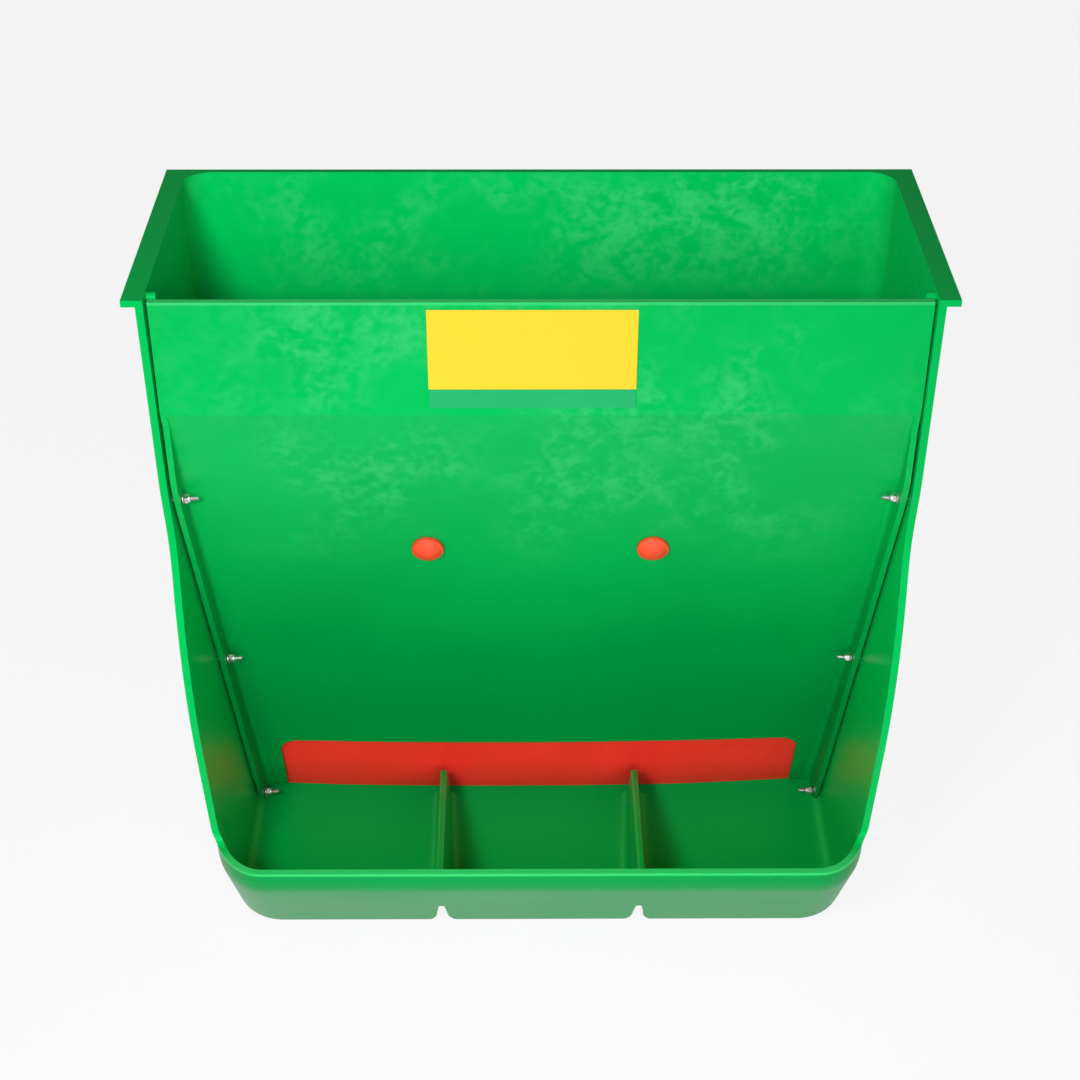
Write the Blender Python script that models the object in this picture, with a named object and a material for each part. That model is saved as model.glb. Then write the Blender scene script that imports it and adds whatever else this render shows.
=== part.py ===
"""Lamb feed hopper: a moulded body with a trough in front, a bolted front panel and a sliding feed gate.

Metres, +Z up, +Y from the trough to the back wall, +X to the right as seen from the trough.
The origin is on the ground under the middle of the body. Depths are measured back from the front
plane, in which the upper front edges of the side walls stand, and heights from the ground.
"""

import math

import bmesh
import bpy
from mathutils import Matrix, Vector

# Body: outer sizes
BODY_HEIGHT = 0.605
BACK_DEPTH = 0.235
RIM_HALF_WIDTH = 0.3005
SHOULDER_HEIGHT = 0.430
SHOULDER_INSET = 0.0017
FOOT_INSET = 0.028
WALL = 0.006
BOTTOM_RADIUS = 0.012
FLOOR_RADIUS = 0.018
BACK_CORNER_RADIUS = 0.028
CHUTE_HEIGHT = 0.105
CHUTE_RUN = 0.070

# Trough lip, in front of the front plane
LIP_REACH = 0.0935
LIP_HEIGHT = 0.116
LIP_BAND = 0.018
TROUGH_FOOT_REACH = 0.032

# Elliptical corners between side and front: their sizes across and along, at three heights
FOOT_CORNER = (0.040, 0.048)
LIP_CORNER = (0.046, 0.067)
EDGE_CORNER = (0.040, 0.040)

# Front edge of the side walls
EDGE_REACH = 0.050
EDGE_TOP_HEIGHT = 0.417
EDGE_BOTTOM_HEIGHT = 0.205
EDGE_UPPER_SHARE = 0.26
EDGE_FOOT_RADIUS = 0.015

# Flanges along the top of the side walls
FLANGE_WIDTH = 0.0105
FLANGE_THICKNESS = 0.0055
FLANGE_SETBACK = 0.001

# Two dividers moulded in the trough, solid above and hollow beneath
DIVIDER_FRONT_OFFSET = 0.085
DIVIDER_BACK_OFFSET = 0.090
DIVIDER_TOP_WIDTH = 0.006
DIVIDER_DRAFT = 0.05
DIVIDER_FRONT_HEIGHT = 0.113
DIVIDER_BACK_HEIGHT = 0.047
DIVIDER_BACK_DEPTH = 0.118
DIVIDER_FOOT_RADIUS = 0.012
GROOVE_FRONT_HEIGHT = 0.052
GROOVE_BACK_HEIGHT = 0.027
GROOVE_WALL = 0.003

# Flare of each groove at the ground, its sizes across and up, at either end
GROOVE_FRONT_FLARE = (0.006, 0.030)
GROOVE_BACK_FLARE = (0.004, 0.012)

# Front panel: upright above the bend, sloping back below it, with a rib on each side that deepens downwards
PANEL_THICKNESS = 0.005
PANEL_SETBACK = 0.003
PANEL_TOP_DROP = 0.003
PANEL_TOP_RADIUS = 0.002
BEND_DROP = 0.100
PANEL_SLOPE = math.radians(15.2)
PANEL_SIDE_GAP = 0.0012
PANEL_TOP_SIDE_GAP = 0.0025
RIB_START_DROP = 0.0679
RIB_SLOPE = math.radians(14.5)
RIB_THICKNESS = 0.006
RIB_ROOT_RADIUS = 0.004

# Lugs on the side walls behind the panel's top corners
LUG_RADIUS = 0.0045
LUG_REACH = 0.005
LUG_DROP = 0.001
LUG_SETBACK = 0.004

# Feed window in the panel; distances along the slope start at the bend
WINDOW_TOP = 0.437
WINDOW_TOP_HALF_WIDTH = 0.2425
WINDOW_FOOT_HALF_WIDTH = 0.2405
WINDOW_CORNER_RADIUS = 0.015

# Feed gate behind the panel
GATE_THICKNESS = 0.004
GATE_GAP = 0.0004
GATE_HALF_WIDTH = 0.251
GATE_TOP = 0.118
GATE_CORNER_RADIUS = 0.010
GATE_FLOOR_CLEARANCE = 0.0012
GATE_TRAVEL = 0.060
GATE_SLOT_CLEARANCE = 0.0004

# Clamping knobs: one on each side, with a stud through panel and gate
KNOB_OFFSET = 0.093
KNOB_DISTANCE = 0.1562
KNOB_RADIUS = 0.0132
KNOB_SKIRT = 0.0045
KNOB_CROWN = 0.0040
KNOB_EDGE_RADIUS = 0.0015
KNOB_SOCKET_DEPTH = 0.0055
STUD_RADIUS = 0.004
STUD_HOLE_CLEARANCE = 0.0004
STUD_TAIL = 0.0030
CLAMP_WASHER_RADIUS = 0.012
CLAMP_WASHER_THICKNESS = 0.0020
CLAMP_NUT_FLATS = 0.013
CLAMP_NUT_HEIGHT = 0.0065

# Bolts that hold the panel between the side walls, three along the front edge of each rib;
# the first is set from the rib's upper end and the last from its foot
BOLT_FIRST = 0.0208
BOLT_LAST = 0.00948332
BOLT_COUNT = 3
BOLT_INSET = 0.0085
BOLT_RADIUS = 0.002
BOLT_HOLE_CLEARANCE = 0.0004
BOLT_HEAD_RADIUS = 0.0038
BOLT_HEAD_RIM = 0.0004
BOLT_SOCKET_FLATS = 0.0025
BOLT_SOCKET_DEPTH = 0.0015
BOLT_TIP = 0.0065
WASHER_RADIUS = 0.0045
WASHER_THICKNESS = 0.0010
NUT_FLATS = 0.007
NUT_HEIGHT = 0.005

# Label on the panel
LABEL_WIDTH = 0.158
LABEL_HEIGHT = 0.084
LABEL_THICKNESS = 0.0006
LABEL_TOP_DROP = 0.009
LABEL_OFFSET = -0.0066
LABEL_BAND = 0.016

# Gap left between pieces that touch, and how far a cutter runs past what it cuts
SEAT = 0.0003
OVERRUN = 0.020

# Facets
CORNER_STEPS = 6
FILLET_STEPS = 5
EDGE_STEPS = 7
BORE_SIDES = 18
KNOB_SIDES = 32

# Derived places
FRONT_PLANE = (LIP_REACH - BACK_DEPTH) / 2
FOOT_HALF_WIDTH = RIM_HALF_WIDTH - FOOT_INSET
LOWER_FLARE = (FOOT_INSET - SHOULDER_INSET) / SHOULDER_HEIGHT
UPPER_FLARE = SHOULDER_INSET / (BODY_HEIGHT - SHOULDER_HEIGHT)
LIP_FLARE = (LIP_REACH - TROUGH_FOOT_REACH) / (LIP_HEIGHT - LIP_BAND)
CHUTE_FLARE = CHUTE_RUN / CHUTE_HEIGHT
CHUTE_FOOT_DEPTH = BACK_DEPTH - CHUTE_RUN
BEND_HEIGHT = BODY_HEIGHT - BEND_DROP
PANEL_FACE = FRONT_PLANE + PANEL_SETBACK
PANEL_OUT = Vector((0, -math.cos(PANEL_SLOPE), -math.sin(PANEL_SLOPE)))
PANEL_DOWN = Vector((0, math.sin(PANEL_SLOPE), -math.cos(PANEL_SLOPE)))
RIB_OUT = Vector((0, -math.cos(RIB_SLOPE), -math.sin(RIB_SLOPE)))
RIB_DOWN = Vector((0, math.sin(RIB_SLOPE), -math.cos(RIB_SLOPE)))
RIB_START = Vector((0, PANEL_FACE, BEND_HEIGHT - RIB_START_DROP))
RIB_LENGTH = (RIB_START.z - WALL) / -RIB_DOWN.z
BOLT_PITCH = (RIB_LENGTH - BOLT_FIRST - BOLT_LAST) / (BOLT_COUNT - 1)
GATE_FACE = -(PANEL_THICKNESS + GATE_GAP)
GATE_BACK = GATE_FACE - GATE_THICKNESS


def material(name, colour, roughness, metallic=0.0):
    made = bpy.data.materials.new(name)
    made.use_nodes = True
    shader = made.node_tree.nodes["Principled BSDF"]
    shader.inputs["Base Color"].default_value = (*colour, 1)
    shader.inputs["Roughness"].default_value = roughness
    shader.inputs["Metallic"].default_value = metallic
    made.diffuse_color = (*colour, 1)
    return made


def new_object(name, mesh, finish=None):
    made = bpy.data.objects.new(name, mesh)
    bpy.context.scene.collection.objects.link(made)
    if finish:
        made.data.materials.append(finish)
    return made


def new_mesh(name, bm):
    """A mesh of the bmesh's faces, all facing out, smooth except at real edges."""
    bmesh.ops.recalc_face_normals(bm, faces=bm.faces)
    mesh = bpy.data.meshes.new(name)
    bm.to_mesh(mesh)
    bm.free()
    mesh.shade_smooth()
    mesh.set_sharp_from_angle(angle=math.radians(35))
    return mesh


def cutter(name, mesh):
    made = new_object(name, mesh)
    made.hide_render = True
    made.display_type = "WIRE"
    return made


def add_boolean(target, tool, operation):
    modifier = target.modifiers.new(f"{operation.lower()}_{tool.name}", "BOOLEAN")
    modifier.operation = operation
    modifier.solver = "EXACT"
    modifier.object = tool


def add_sleeve(bm, near, far):
    """The faces between two rings with the same number of points."""
    for index in range(len(near)):
        after = (index + 1) % len(near)
        bm.faces.new((near[index], near[after], far[after], far[index]))


def join_loops(bm, loops):
    """A closed solid through loops that have the same number of points."""
    rings = [[bm.verts.new(point) for point in loop] for loop in loops]
    for lower, upper in zip(rings, rings[1:]):
        add_sleeve(bm, lower, upper)
    bm.faces.new(rings[0])
    bm.faces.new(rings[-1])


def loft(name, loops):
    bm = bmesh.new()
    join_loops(bm, loops)
    return new_mesh(name, bm)


def extrude_along_x(name, outline, low, high):
    """A prism along X of an outline of (y, z) points."""
    return loft(name, [[(x, y, z) for y, z in outline] for x in (low, high)])


def arc(centre, radius, start, end, steps):
    """Points of an arc in a plane, both ends included, with its angles in radians."""
    angles = [start + (end - start) * step / steps for step in range(steps + 1)]
    return [(centre[0] + radius * math.cos(a), centre[1] + radius * math.sin(a)) for a in angles]


def foot_radius(inset):
    """The rounding between walls and bottom: larger on the inside, where inset is at least the wall."""
    if inset:
        return FLOOR_RADIUS + WALL - inset
    return BOTTOM_RADIUS


def wall_reach(height, foot, flare, inset):
    """How far a flaring wall stands out at a height, with the rounding at its foot.

    foot is its reach at the ground without the rounding, flare its growth with height, and inset
    the distance of a parallel surface inside it, such as the wall's inner face.
    """
    slant = math.hypot(1, flare)
    radius = foot_radius(inset)
    rise = height - inset
    inner_foot = foot + flare * inset - inset * slant
    if rise >= radius * (1 - flare / slant):
        return inner_foot + flare * rise
    centre = inner_foot + flare * radius - radius * slant
    return centre + math.sqrt(max(radius**2 - (radius - rise) ** 2, 0))


def upper_half_width(height):
    return RIM_HALF_WIDTH - UPPER_FLARE * (BODY_HEIGHT - height)


def half_width(height, inset=0.0):
    """Half the body's width at a height: a steeper upper wall on a flaring lower one."""
    return min(upper_half_width(height) - inset, wall_reach(height, FOOT_HALF_WIDTH, LOWER_FLARE, inset))


def front_reach(height, inset=0.0):
    """How far the trough stands in front of the front plane at a height."""
    return min(LIP_REACH - inset, wall_reach(height, TROUGH_FOOT_REACH, LIP_FLARE, inset))


def back_reach(height, inset=0.0):
    return min(BACK_DEPTH - inset, wall_reach(height, CHUTE_FOOT_DEPTH, CHUTE_FLARE, inset))


def between(low, high, share):
    """The pair of values at a share of the way from one pair to another."""
    return [a + (b - a) * share for a, b in zip(low, high)]


def front_corner(height, inset):
    """The corner's sizes across and along: they grow up to the lip, and shrink just above it."""
    if height <= LIP_HEIGHT:
        sizes = between(FOOT_CORNER, LIP_CORNER, height / LIP_HEIGHT)
    else:
        share = min((height - LIP_HEIGHT) / EDGE_FOOT_RADIUS, 1)
        sizes = between(LIP_CORNER, EDGE_CORNER, share)
    return [size - inset for size in sizes]


def crease_height(limit, foot, flare, inset):
    """The height at which a flaring wall meets the upright one above it."""
    inner_foot = foot + flare * inset - inset * math.hypot(1, flare)
    return inset + (limit - inset - inner_foot) / flare


def plan_loop(height, inset):
    """The body's outline at a height, a rectangle with four rounded corners."""
    side = half_width(height, inset)
    front = FRONT_PLANE - front_reach(height, inset)
    back = FRONT_PLANE + back_reach(height, inset)
    back_sizes = [BACK_CORNER_RADIUS - inset] * 2
    front_sizes = front_corner(height, inset)
    quarter = math.pi / 2
    outline = []
    for turn, (across, along, sizes) in enumerate(
        (
            (side, back, back_sizes),
            (-side, back, back_sizes),
            (-side, front, front_sizes),
            (side, front, front_sizes),
        )
    ):
        x = across - math.copysign(sizes[0], across)
        y = along - math.copysign(sizes[1], along)
        corner = arc((0, 0), 1, turn * quarter, (turn + 1) * quarter, CORNER_STEPS)
        outline += [(x + sizes[0] * u, y + sizes[1] * v, height) for u, v in corner]
    return outline


def tub_mesh(name, inset, top):
    """The body's space inside its outer faces by inset, from its floor to top."""
    radius = foot_radius(inset)
    turns = [math.pi / 2 * step / FILLET_STEPS for step in range(FILLET_STEPS + 1)]
    fillet = [inset + radius * (1 - math.cos(turn)) for turn in turns]
    lower_foot = FOOT_HALF_WIDTH - inset * math.hypot(1, LOWER_FLARE)
    shoulder = (upper_half_width(0) - inset - lower_foot) / (LOWER_FLARE - UPPER_FLARE)
    creases = [
        crease_height(LIP_REACH, TROUGH_FOOT_REACH, LIP_FLARE, inset),
        crease_height(BACK_DEPTH, CHUTE_FOOT_DEPTH, CHUTE_FLARE, inset),
        LIP_HEIGHT,
        LIP_HEIGHT + EDGE_FOOT_RADIUS,
        shoulder,
    ]
    return loft(name, [plan_loop(height, inset) for height in sorted(fillet + creases + [top])])


def edge_outline():
    """Outline (y, z) of what is trimmed off in front of the side walls and above the lip."""
    rise = EDGE_TOP_HEIGHT - EDGE_BOTTOM_HEIGHT
    turn = 2 * math.atan(EDGE_REACH / rise)
    upper = EDGE_UPPER_SHARE * rise / math.sin(turn)
    lower = (1 - EDGE_UPPER_SHARE) * rise / math.sin(turn)
    forward = FRONT_PLANE - EDGE_REACH
    foot = (forward - EDGE_FOOT_RADIUS, LIP_HEIGHT + EDGE_FOOT_RADIUS)
    ahead = FRONT_PLANE - LIP_REACH - OVERRUN
    above = BODY_HEIGHT + OVERRUN
    outline = [(ahead, LIP_HEIGHT)]
    outline += arc(foot, EDGE_FOOT_RADIUS, -math.pi / 2, 0, FILLET_STEPS)
    outline += arc((forward + lower, EDGE_BOTTOM_HEIGHT), lower, math.pi, math.pi - turn, EDGE_STEPS)
    outline += arc((FRONT_PLANE - upper, EDGE_TOP_HEIGHT), upper, -turn, 0, EDGE_STEPS)[1:]
    outline += [(FRONT_PLANE, above), (ahead, above)]
    return outline


def slope_point(across, down, out):
    """A point given across the panel, down its slope from the bend, and out from its front face."""
    return Vector((across, PANEL_FACE, BEND_HEIGHT)) + PANEL_DOWN * down + PANEL_OUT * out


def floor_distance(out, clearance):
    """The distance down the slope at which a sheet's lowest edge clears the trough's floor."""
    height = WALL + clearance
    return (BEND_HEIGHT - height + out * PANEL_OUT.z) / -PANEL_DOWN.z


# Dividers


def divider_section(centre, depth, height, lean):
    """One divider's outline across its length, from below the floor to its rounded top."""
    crown = DIVIDER_TOP_WIDTH / 2
    foot = crown + DIVIDER_DRAFT * (height - WALL)
    floor = WALL / 2
    flare = [(foot + DIVIDER_FOOT_RADIUS, floor)]
    flare += arc(
        (foot + DIVIDER_FOOT_RADIUS, WALL + DIVIDER_FOOT_RADIUS),
        DIVIDER_FOOT_RADIUS,
        -math.pi / 2,
        -math.pi,
        FILLET_STEPS,
    )
    half = flare + arc((0, height - crown), crown, 0, math.pi / 2, FILLET_STEPS)
    outline = half + [(-x, z) for x, z in reversed(half[:-1])]
    return [(centre + x, FRONT_PLANE + depth + lean * (height - z), z) for x, z in outline]


def groove_section(centre, depth, height, half_foot, half_top, flare):
    """One groove's outline, from below the ground to its roof, flared at the ground."""
    across, up = flare
    half = [(half_foot + across, -OVERRUN)]
    for u, v in arc((1, 1), 1, -math.pi / 2, -math.pi, FILLET_STEPS):
        half.append((half_foot + across * u, up * v))
    half.append((half_top, height))
    outline = half + [(-x, z) for x, z in reversed(half)]
    return [(centre + x, FRONT_PLANE + depth, z) for x, z in outline]


def divider_half_width(divider_height, height):
    return DIVIDER_TOP_WIDTH / 2 + DIVIDER_DRAFT * (divider_height - height)


def divider_mesh():
    """Both dividers, from inside the lip to just in front of the gate."""
    bm = bmesh.new()
    for side in (-1, 1):
        near = side * DIVIDER_FRONT_OFFSET
        far = side * DIVIDER_BACK_OFFSET
        front = divider_section(near, -LIP_REACH, DIVIDER_FRONT_HEIGHT, 0)
        back = divider_section(far, DIVIDER_BACK_DEPTH, DIVIDER_BACK_HEIGHT, math.tan(PANEL_SLOPE))
        join_loops(bm, [front, back])
    return new_mesh("divider_core", bm)


def groove_mesh():
    """The hollow under each divider, which opens through the trough's sloping front."""
    bm = bmesh.new()
    front = (DIVIDER_FRONT_OFFSET, -LIP_REACH - WALL, DIVIDER_FRONT_HEIGHT)
    back = (DIVIDER_BACK_OFFSET, DIVIDER_BACK_DEPTH - WALL, DIVIDER_BACK_HEIGHT)
    ends = (
        (front, GROOVE_FRONT_HEIGHT, GROOVE_FRONT_FLARE),
        (back, GROOVE_BACK_HEIGHT, GROOVE_BACK_FLARE),
    )
    for side in (-1, 1):
        sections = []
        for (offset, depth, divider_height), height, flare in ends:
            foot = divider_half_width(divider_height, WALL) - GROOVE_WALL
            top = divider_half_width(divider_height, height) - GROOVE_WALL
            sections.append(groove_section(side * offset, depth, height, foot, top, flare))
        join_loops(bm, sections)
    return new_mesh("groove_core", bm)


# Fastener places


def bolt_places():
    """Side, and distance along the rib's front edge from its upper end, of each bolt."""
    return [(side, BOLT_FIRST + BOLT_PITCH * row) for side in (-1, 1) for row in range(BOLT_COUNT)]


def bolt_frame(side, along):
    """A frame on the wall's outer face at a bolt: its X runs inwards, square to the wall."""
    centre = RIB_START + RIB_DOWN * along - RIB_OUT * BOLT_INSET
    lean = math.atan(LOWER_FLARE)
    inwards = Vector((-side * math.cos(lean), 0, math.sin(lean)))
    across = Vector((0, 1, 0))
    upright = inwards.cross(across)
    turn = Matrix((inwards, across, upright)).transposed().to_4x4()
    place = Vector((side * half_width(centre.z), centre.y, centre.z))
    return Matrix.Translation(place) @ turn


def ring_points(radius, sides, along):
    turns = [2 * math.pi * index / sides for index in range(sides)]
    return [(along, radius * math.cos(turn), radius * math.sin(turn)) for turn in turns]


def across_flats(width):
    """The corner radius of a hexagon."""
    return width / 2 / math.cos(math.pi / 6)


def add_annulus(bm, coarse, fine):
    """Flat faces between two rings, one inside the other; fine has a whole multiple of coarse's points."""
    share = len(fine) // len(coarse)
    for index, corner in enumerate(coarse):
        span = [fine[(index * share + step) % len(fine)] for step in range(share + 1)]
        bm.faces.new([corner, *span, coarse[(index + 1) % len(coarse)]])


def add_rings(bm, radius, sides, near, far):
    return [[bm.verts.new(p) for p in ring_points(radius, sides, x)] for x in (near, far)]


def tube_mesh(name, radius, sides, bore, near, far):
    """A washer or nut along X from near to far, with an outline of so many sides."""
    bm = bmesh.new()
    outer = add_rings(bm, radius, sides, near, far)
    inner = add_rings(bm, bore, BORE_SIDES, near, far)
    for near_ring, far_ring in (outer, inner):
        add_sleeve(bm, near_ring, far_ring)
    for end in (0, 1):
        add_annulus(bm, outer[end], inner[end])
    return new_mesh(name, bm)


def bolt_profile(gap, near, far):
    """(along, radius) points of a countersunk bolt from near to far, widened all round by gap."""
    rim = SEAT + BOLT_HEAD_RIM
    neck = rim + BOLT_HEAD_RADIUS - BOLT_RADIUS
    head = BOLT_HEAD_RADIUS + gap
    shank = BOLT_RADIUS + gap
    return [(near, head), (rim, head), (neck, shank), (far, shank)]


def bolt_mesh(name, length):
    """A bolt along X with a countersunk head, whose hexagon socket opens just inside X = 0."""
    bm = bmesh.new()
    socket = add_rings(bm, across_flats(BOLT_SOCKET_FLATS), 6, SEAT, SEAT + BOLT_SOCKET_DEPTH)
    rings = []
    for along, radius in bolt_profile(0, SEAT, length):
        rings.append([bm.verts.new(p) for p in ring_points(radius, BORE_SIDES, along)])
    for near_ring, far_ring in [socket, *zip(rings, rings[1:])]:
        add_sleeve(bm, near_ring, far_ring)
    add_annulus(bm, socket[0], rings[0])
    bm.faces.new(socket[1])
    bm.faces.new(rings[-1])
    return new_mesh(name, bm)


def bolt_hole_mesh():
    """Countersunk bores through each side wall and on through the panel's rib behind it."""
    bm = bmesh.new()
    profile = bolt_profile(BOLT_HOLE_CLEARANCE, -OVERRUN, OVERRUN)
    for side, place in bolt_places():
        frame = bolt_frame(side, place)
        rings = [ring_points(radius, BORE_SIDES, along) for along, radius in profile]
        join_loops(bm, [[frame @ Vector(p) for p in ring] for ring in rings])
    return new_mesh("bolt_bores", bm)


# Body shell


def lug_mesh():
    """A round lug on each side wall, a little behind the panel's top corner."""
    bm = bmesh.new()
    behind = PANEL_FACE + PANEL_THICKNESS + LUG_SETBACK + LUG_RADIUS
    centre = (behind, BODY_HEIGHT - LUG_DROP - LUG_RADIUS)
    outline = arc(centre, LUG_RADIUS, 0, 2 * math.pi, BORE_SIDES)[:-1]
    root = RIM_HALF_WIDTH
    tip = upper_half_width(centre[1]) - WALL - LUG_REACH
    for side in (-1, 1):
        join_loops(bm, [[(side * x, y, z) for y, z in outline] for x in (tip, root)])
    return new_mesh("lug_core", bm)


def build_body(finish):
    body = new_object("body_shell", tub_mesh("body_shell", 0, BODY_HEIGHT), finish)
    reach = RIM_HALF_WIDTH + OVERRUN
    front = extrude_along_x("front_trim", edge_outline(), -reach, reach)
    add_boolean(body, cutter("front_trim", front), "DIFFERENCE")
    outer = RIM_HALF_WIDTH + FLANGE_WIDTH
    inner = RIM_HALF_WIDTH - BACK_CORNER_RADIUS
    near = FRONT_PLANE + FLANGE_SETBACK
    far = FRONT_PLANE + BACK_DEPTH
    under = BODY_HEIGHT - FLANGE_THICKNESS
    outline = [(near, under), (far, under), (far, BODY_HEIGHT), (near, BODY_HEIGHT)]
    for name, low, high in (("left_flange", -outer, -inner), ("right_flange", inner, outer)):
        add_boolean(body, cutter(name, extrude_along_x(name, outline, low, high)), "UNION")
    cavity = cutter("cavity", tub_mesh("cavity", WALL, BODY_HEIGHT + OVERRUN))
    add_boolean(cavity, cutter("divider_core", divider_mesh()), "DIFFERENCE")
    add_boolean(cavity, cutter("lug_core", lug_mesh()), "DIFFERENCE")
    add_boolean(body, cavity, "DIFFERENCE")
    add_boolean(body, cutter("groove_core", groove_mesh()), "DIFFERENCE")
    add_boolean(body, bpy.data.objects["bolt_bores"], "DIFFERENCE")
    return body


# Front panel


def panel_outline():
    """Outline (y, z) of the sheet and, in front of it below the bend, of its ribs."""
    top = BODY_HEIGHT - PANEL_TOP_DROP
    crown = (PANEL_FACE + PANEL_TOP_RADIUS, top - PANEL_TOP_RADIUS)
    thickness = PANEL_THICKNESS
    mitre = thickness * math.tan(PANEL_SLOPE / 2)
    rib_foot = RIB_START + RIB_DOWN * (RIB_START.z - WALL + OVERRUN) / -RIB_DOWN.z
    rear_foot = slope_point(0, floor_distance(0, -OVERRUN), -thickness)
    outline = arc(crown, PANEL_TOP_RADIUS, math.pi / 2, math.pi, FILLET_STEPS)
    outline += [
        (RIB_START.y, RIB_START.z),
        (rib_foot.y, rib_foot.z),
        (rear_foot.y, rear_foot.z),
        (PANEL_FACE + thickness, BEND_HEIGHT - mitre),
        (PANEL_FACE + thickness, top),
    ]
    return outline


def build_panel(finish):
    """The sheet and its side ribs: one block between the walls, hollowed in front of the sheet."""
    reach = RIM_HALF_WIDTH + OVERRUN
    block = extrude_along_x("front_panel", panel_outline(), -reach, reach)
    panel = new_object("front_panel", block, finish)
    room = cutter("panel_room", tub_mesh("panel_room", WALL + PANEL_SIDE_GAP, BODY_HEIGHT + OVERRUN))
    add_boolean(panel, room, "INTERSECT")
    add_boolean(panel, cutter("panel_hollow", panel_hollow_mesh()), "DIFFERENCE")
    add_boolean(panel, cutter("panel_side_trim", panel_side_trim_mesh()), "DIFFERENCE")
    add_boolean(panel, cutter("window", window_mesh()), "DIFFERENCE")
    add_boolean(panel, cutter("stud_bores", stud_bore_mesh()), "DIFFERENCE")
    add_boolean(panel, bpy.data.objects["bolt_bores"], "DIFFERENCE")
    return panel


def panel_hollow_mesh():
    """The space in front of the sloping sheet and between its ribs, rounded at the ribs' roots."""
    bm = bmesh.new()
    shoulder = (SHOULDER_HEIGHT - BEND_HEIGHT) / PANEL_DOWN.z
    radius = RIB_ROOT_RADIUS
    loops = []
    for down in (-OVERRUN, shoulder, floor_distance(0, -2 * OVERRUN)):
        height = slope_point(0, down, 0).z
        wall_face = min(upper_half_width(height), FOOT_HALF_WIDTH + LOWER_FLARE * height)
        side = wall_face - WALL - PANEL_SIDE_GAP - RIB_THICKNESS
        half = [(side, 2 * OVERRUN)]
        half += arc((side - radius, radius), radius, 0, -math.pi / 2, FILLET_STEPS)
        outline = half + [(-x, out) for x, out in reversed(half)]
        loops.append([slope_point(x, down, out) for x, out in outline])
    join_loops(bm, loops)
    return new_mesh("panel_hollow", bm)


def panel_side_trim_mesh():
    """What the upright top of the panel lacks beside the walls."""
    bm = bmesh.new()
    inner = RIM_HALF_WIDTH - WALL - PANEL_TOP_SIDE_GAP
    outer = RIM_HALF_WIDTH + OVERRUN
    depths = (PANEL_FACE - OVERRUN, PANEL_FACE + OVERRUN)
    for side in (-1, 1):
        base = [
            (side * inner, depths[0], BEND_HEIGHT),
            (side * outer, depths[0], BEND_HEIGHT),
            (side * outer, depths[1], BEND_HEIGHT),
            (side * inner, depths[1], BEND_HEIGHT),
        ]
        join_loops(bm, [base, [(x, y, BODY_HEIGHT + OVERRUN) for x, y, _ in base]])
    return new_mesh("panel_side_trim", bm)


def slope_prism(bm, outline, near, far):
    """A prism square to the sloping sheet, of an outline given across and down it."""
    join_loops(bm, [[slope_point(x, down, out) for x, down in outline] for out in (near, far)])


def window_mesh():
    bm = bmesh.new()
    radius = WINDOW_CORNER_RADIUS
    side = WINDOW_TOP_HALF_WIDTH
    floor = floor_distance(0, 0)
    draft = (WINDOW_TOP_HALF_WIDTH - WINDOW_FOOT_HALF_WIDTH) / (floor - WINDOW_TOP)
    half = [(WINDOW_FOOT_HALF_WIDTH - draft * OVERRUN, floor + OVERRUN)]
    half += arc((side - radius, WINDOW_TOP + radius), radius, 0, -math.pi / 2, FILLET_STEPS)
    outline = half + [(-x, down) for x, down in reversed(half)]
    slope_prism(bm, outline, OVERRUN, -OVERRUN)
    return new_mesh("window", bm)


def stud_bore_mesh():
    bm = bmesh.new()
    for side in (-1, 1):
        centre = (side * KNOB_OFFSET, KNOB_DISTANCE)
        outline = arc(centre, STUD_RADIUS + STUD_HOLE_CLEARANCE, 0, 2 * math.pi, BORE_SIDES)[:-1]
        slope_prism(bm, outline, OVERRUN, -OVERRUN)
    return new_mesh("stud_bores", bm)


# Feed gate


def gate_outline():
    bottom = floor_distance(GATE_BACK, GATE_FLOOR_CLEARANCE)
    side = GATE_HALF_WIDTH
    radius = GATE_CORNER_RADIUS
    half = arc((side - radius, bottom - radius), radius, math.pi / 2, 0, FILLET_STEPS)
    half += arc((side - radius, GATE_TOP + radius), radius, 0, -math.pi / 2, FILLET_STEPS)
    return half + [(-x, down) for x, down in reversed(half)]


def gate_slot_outline(side):
    """A slot that lets the gate rise by its travel past the stud."""
    radius = STUD_RADIUS + GATE_SLOT_CLEARANCE
    across = side * KNOB_OFFSET
    steps = BORE_SIDES // 2
    upper = arc((across, KNOB_DISTANCE), radius, math.pi, 2 * math.pi, steps)
    lower = arc((across, KNOB_DISTANCE + GATE_TRAVEL), radius, 0, math.pi, steps)
    return upper + lower


def build_gate(finish):
    bm = bmesh.new()
    slope_prism(bm, gate_outline(), GATE_FACE, GATE_BACK)
    gate = new_object("feed_gate", new_mesh("feed_gate", bm), finish)
    slots = bmesh.new()
    for side in (-1, 1):
        slope_prism(slots, gate_slot_outline(side), OVERRUN, -OVERRUN)
    add_boolean(gate, cutter("gate_slots", new_mesh("gate_slots", slots)), "DIFFERENCE")
    return gate


# Knobs and their studs, turned about a local X that runs from the knob into the hopper


def turned_mesh(name, profile, sides):
    """A solid of revolution about X, of (along, radius) points that start and end on the axis."""
    bm = bmesh.new()
    rings = []
    for along, radius in profile[1:-1]:
        rings.append([bm.verts.new(p) for p in ring_points(radius, sides, along)])
    poles = [bm.verts.new((profile[0][0], 0, 0)), bm.verts.new((profile[-1][0], 0, 0))]
    for near, far in zip(rings, rings[1:]):
        add_sleeve(bm, near, far)
    for pole, ring in zip(poles, (rings[0], rings[-1])):
        for index in range(sides):
            bm.faces.new((pole, ring[index], ring[(index + 1) % sides]))
    return new_mesh(name, bm)


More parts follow.
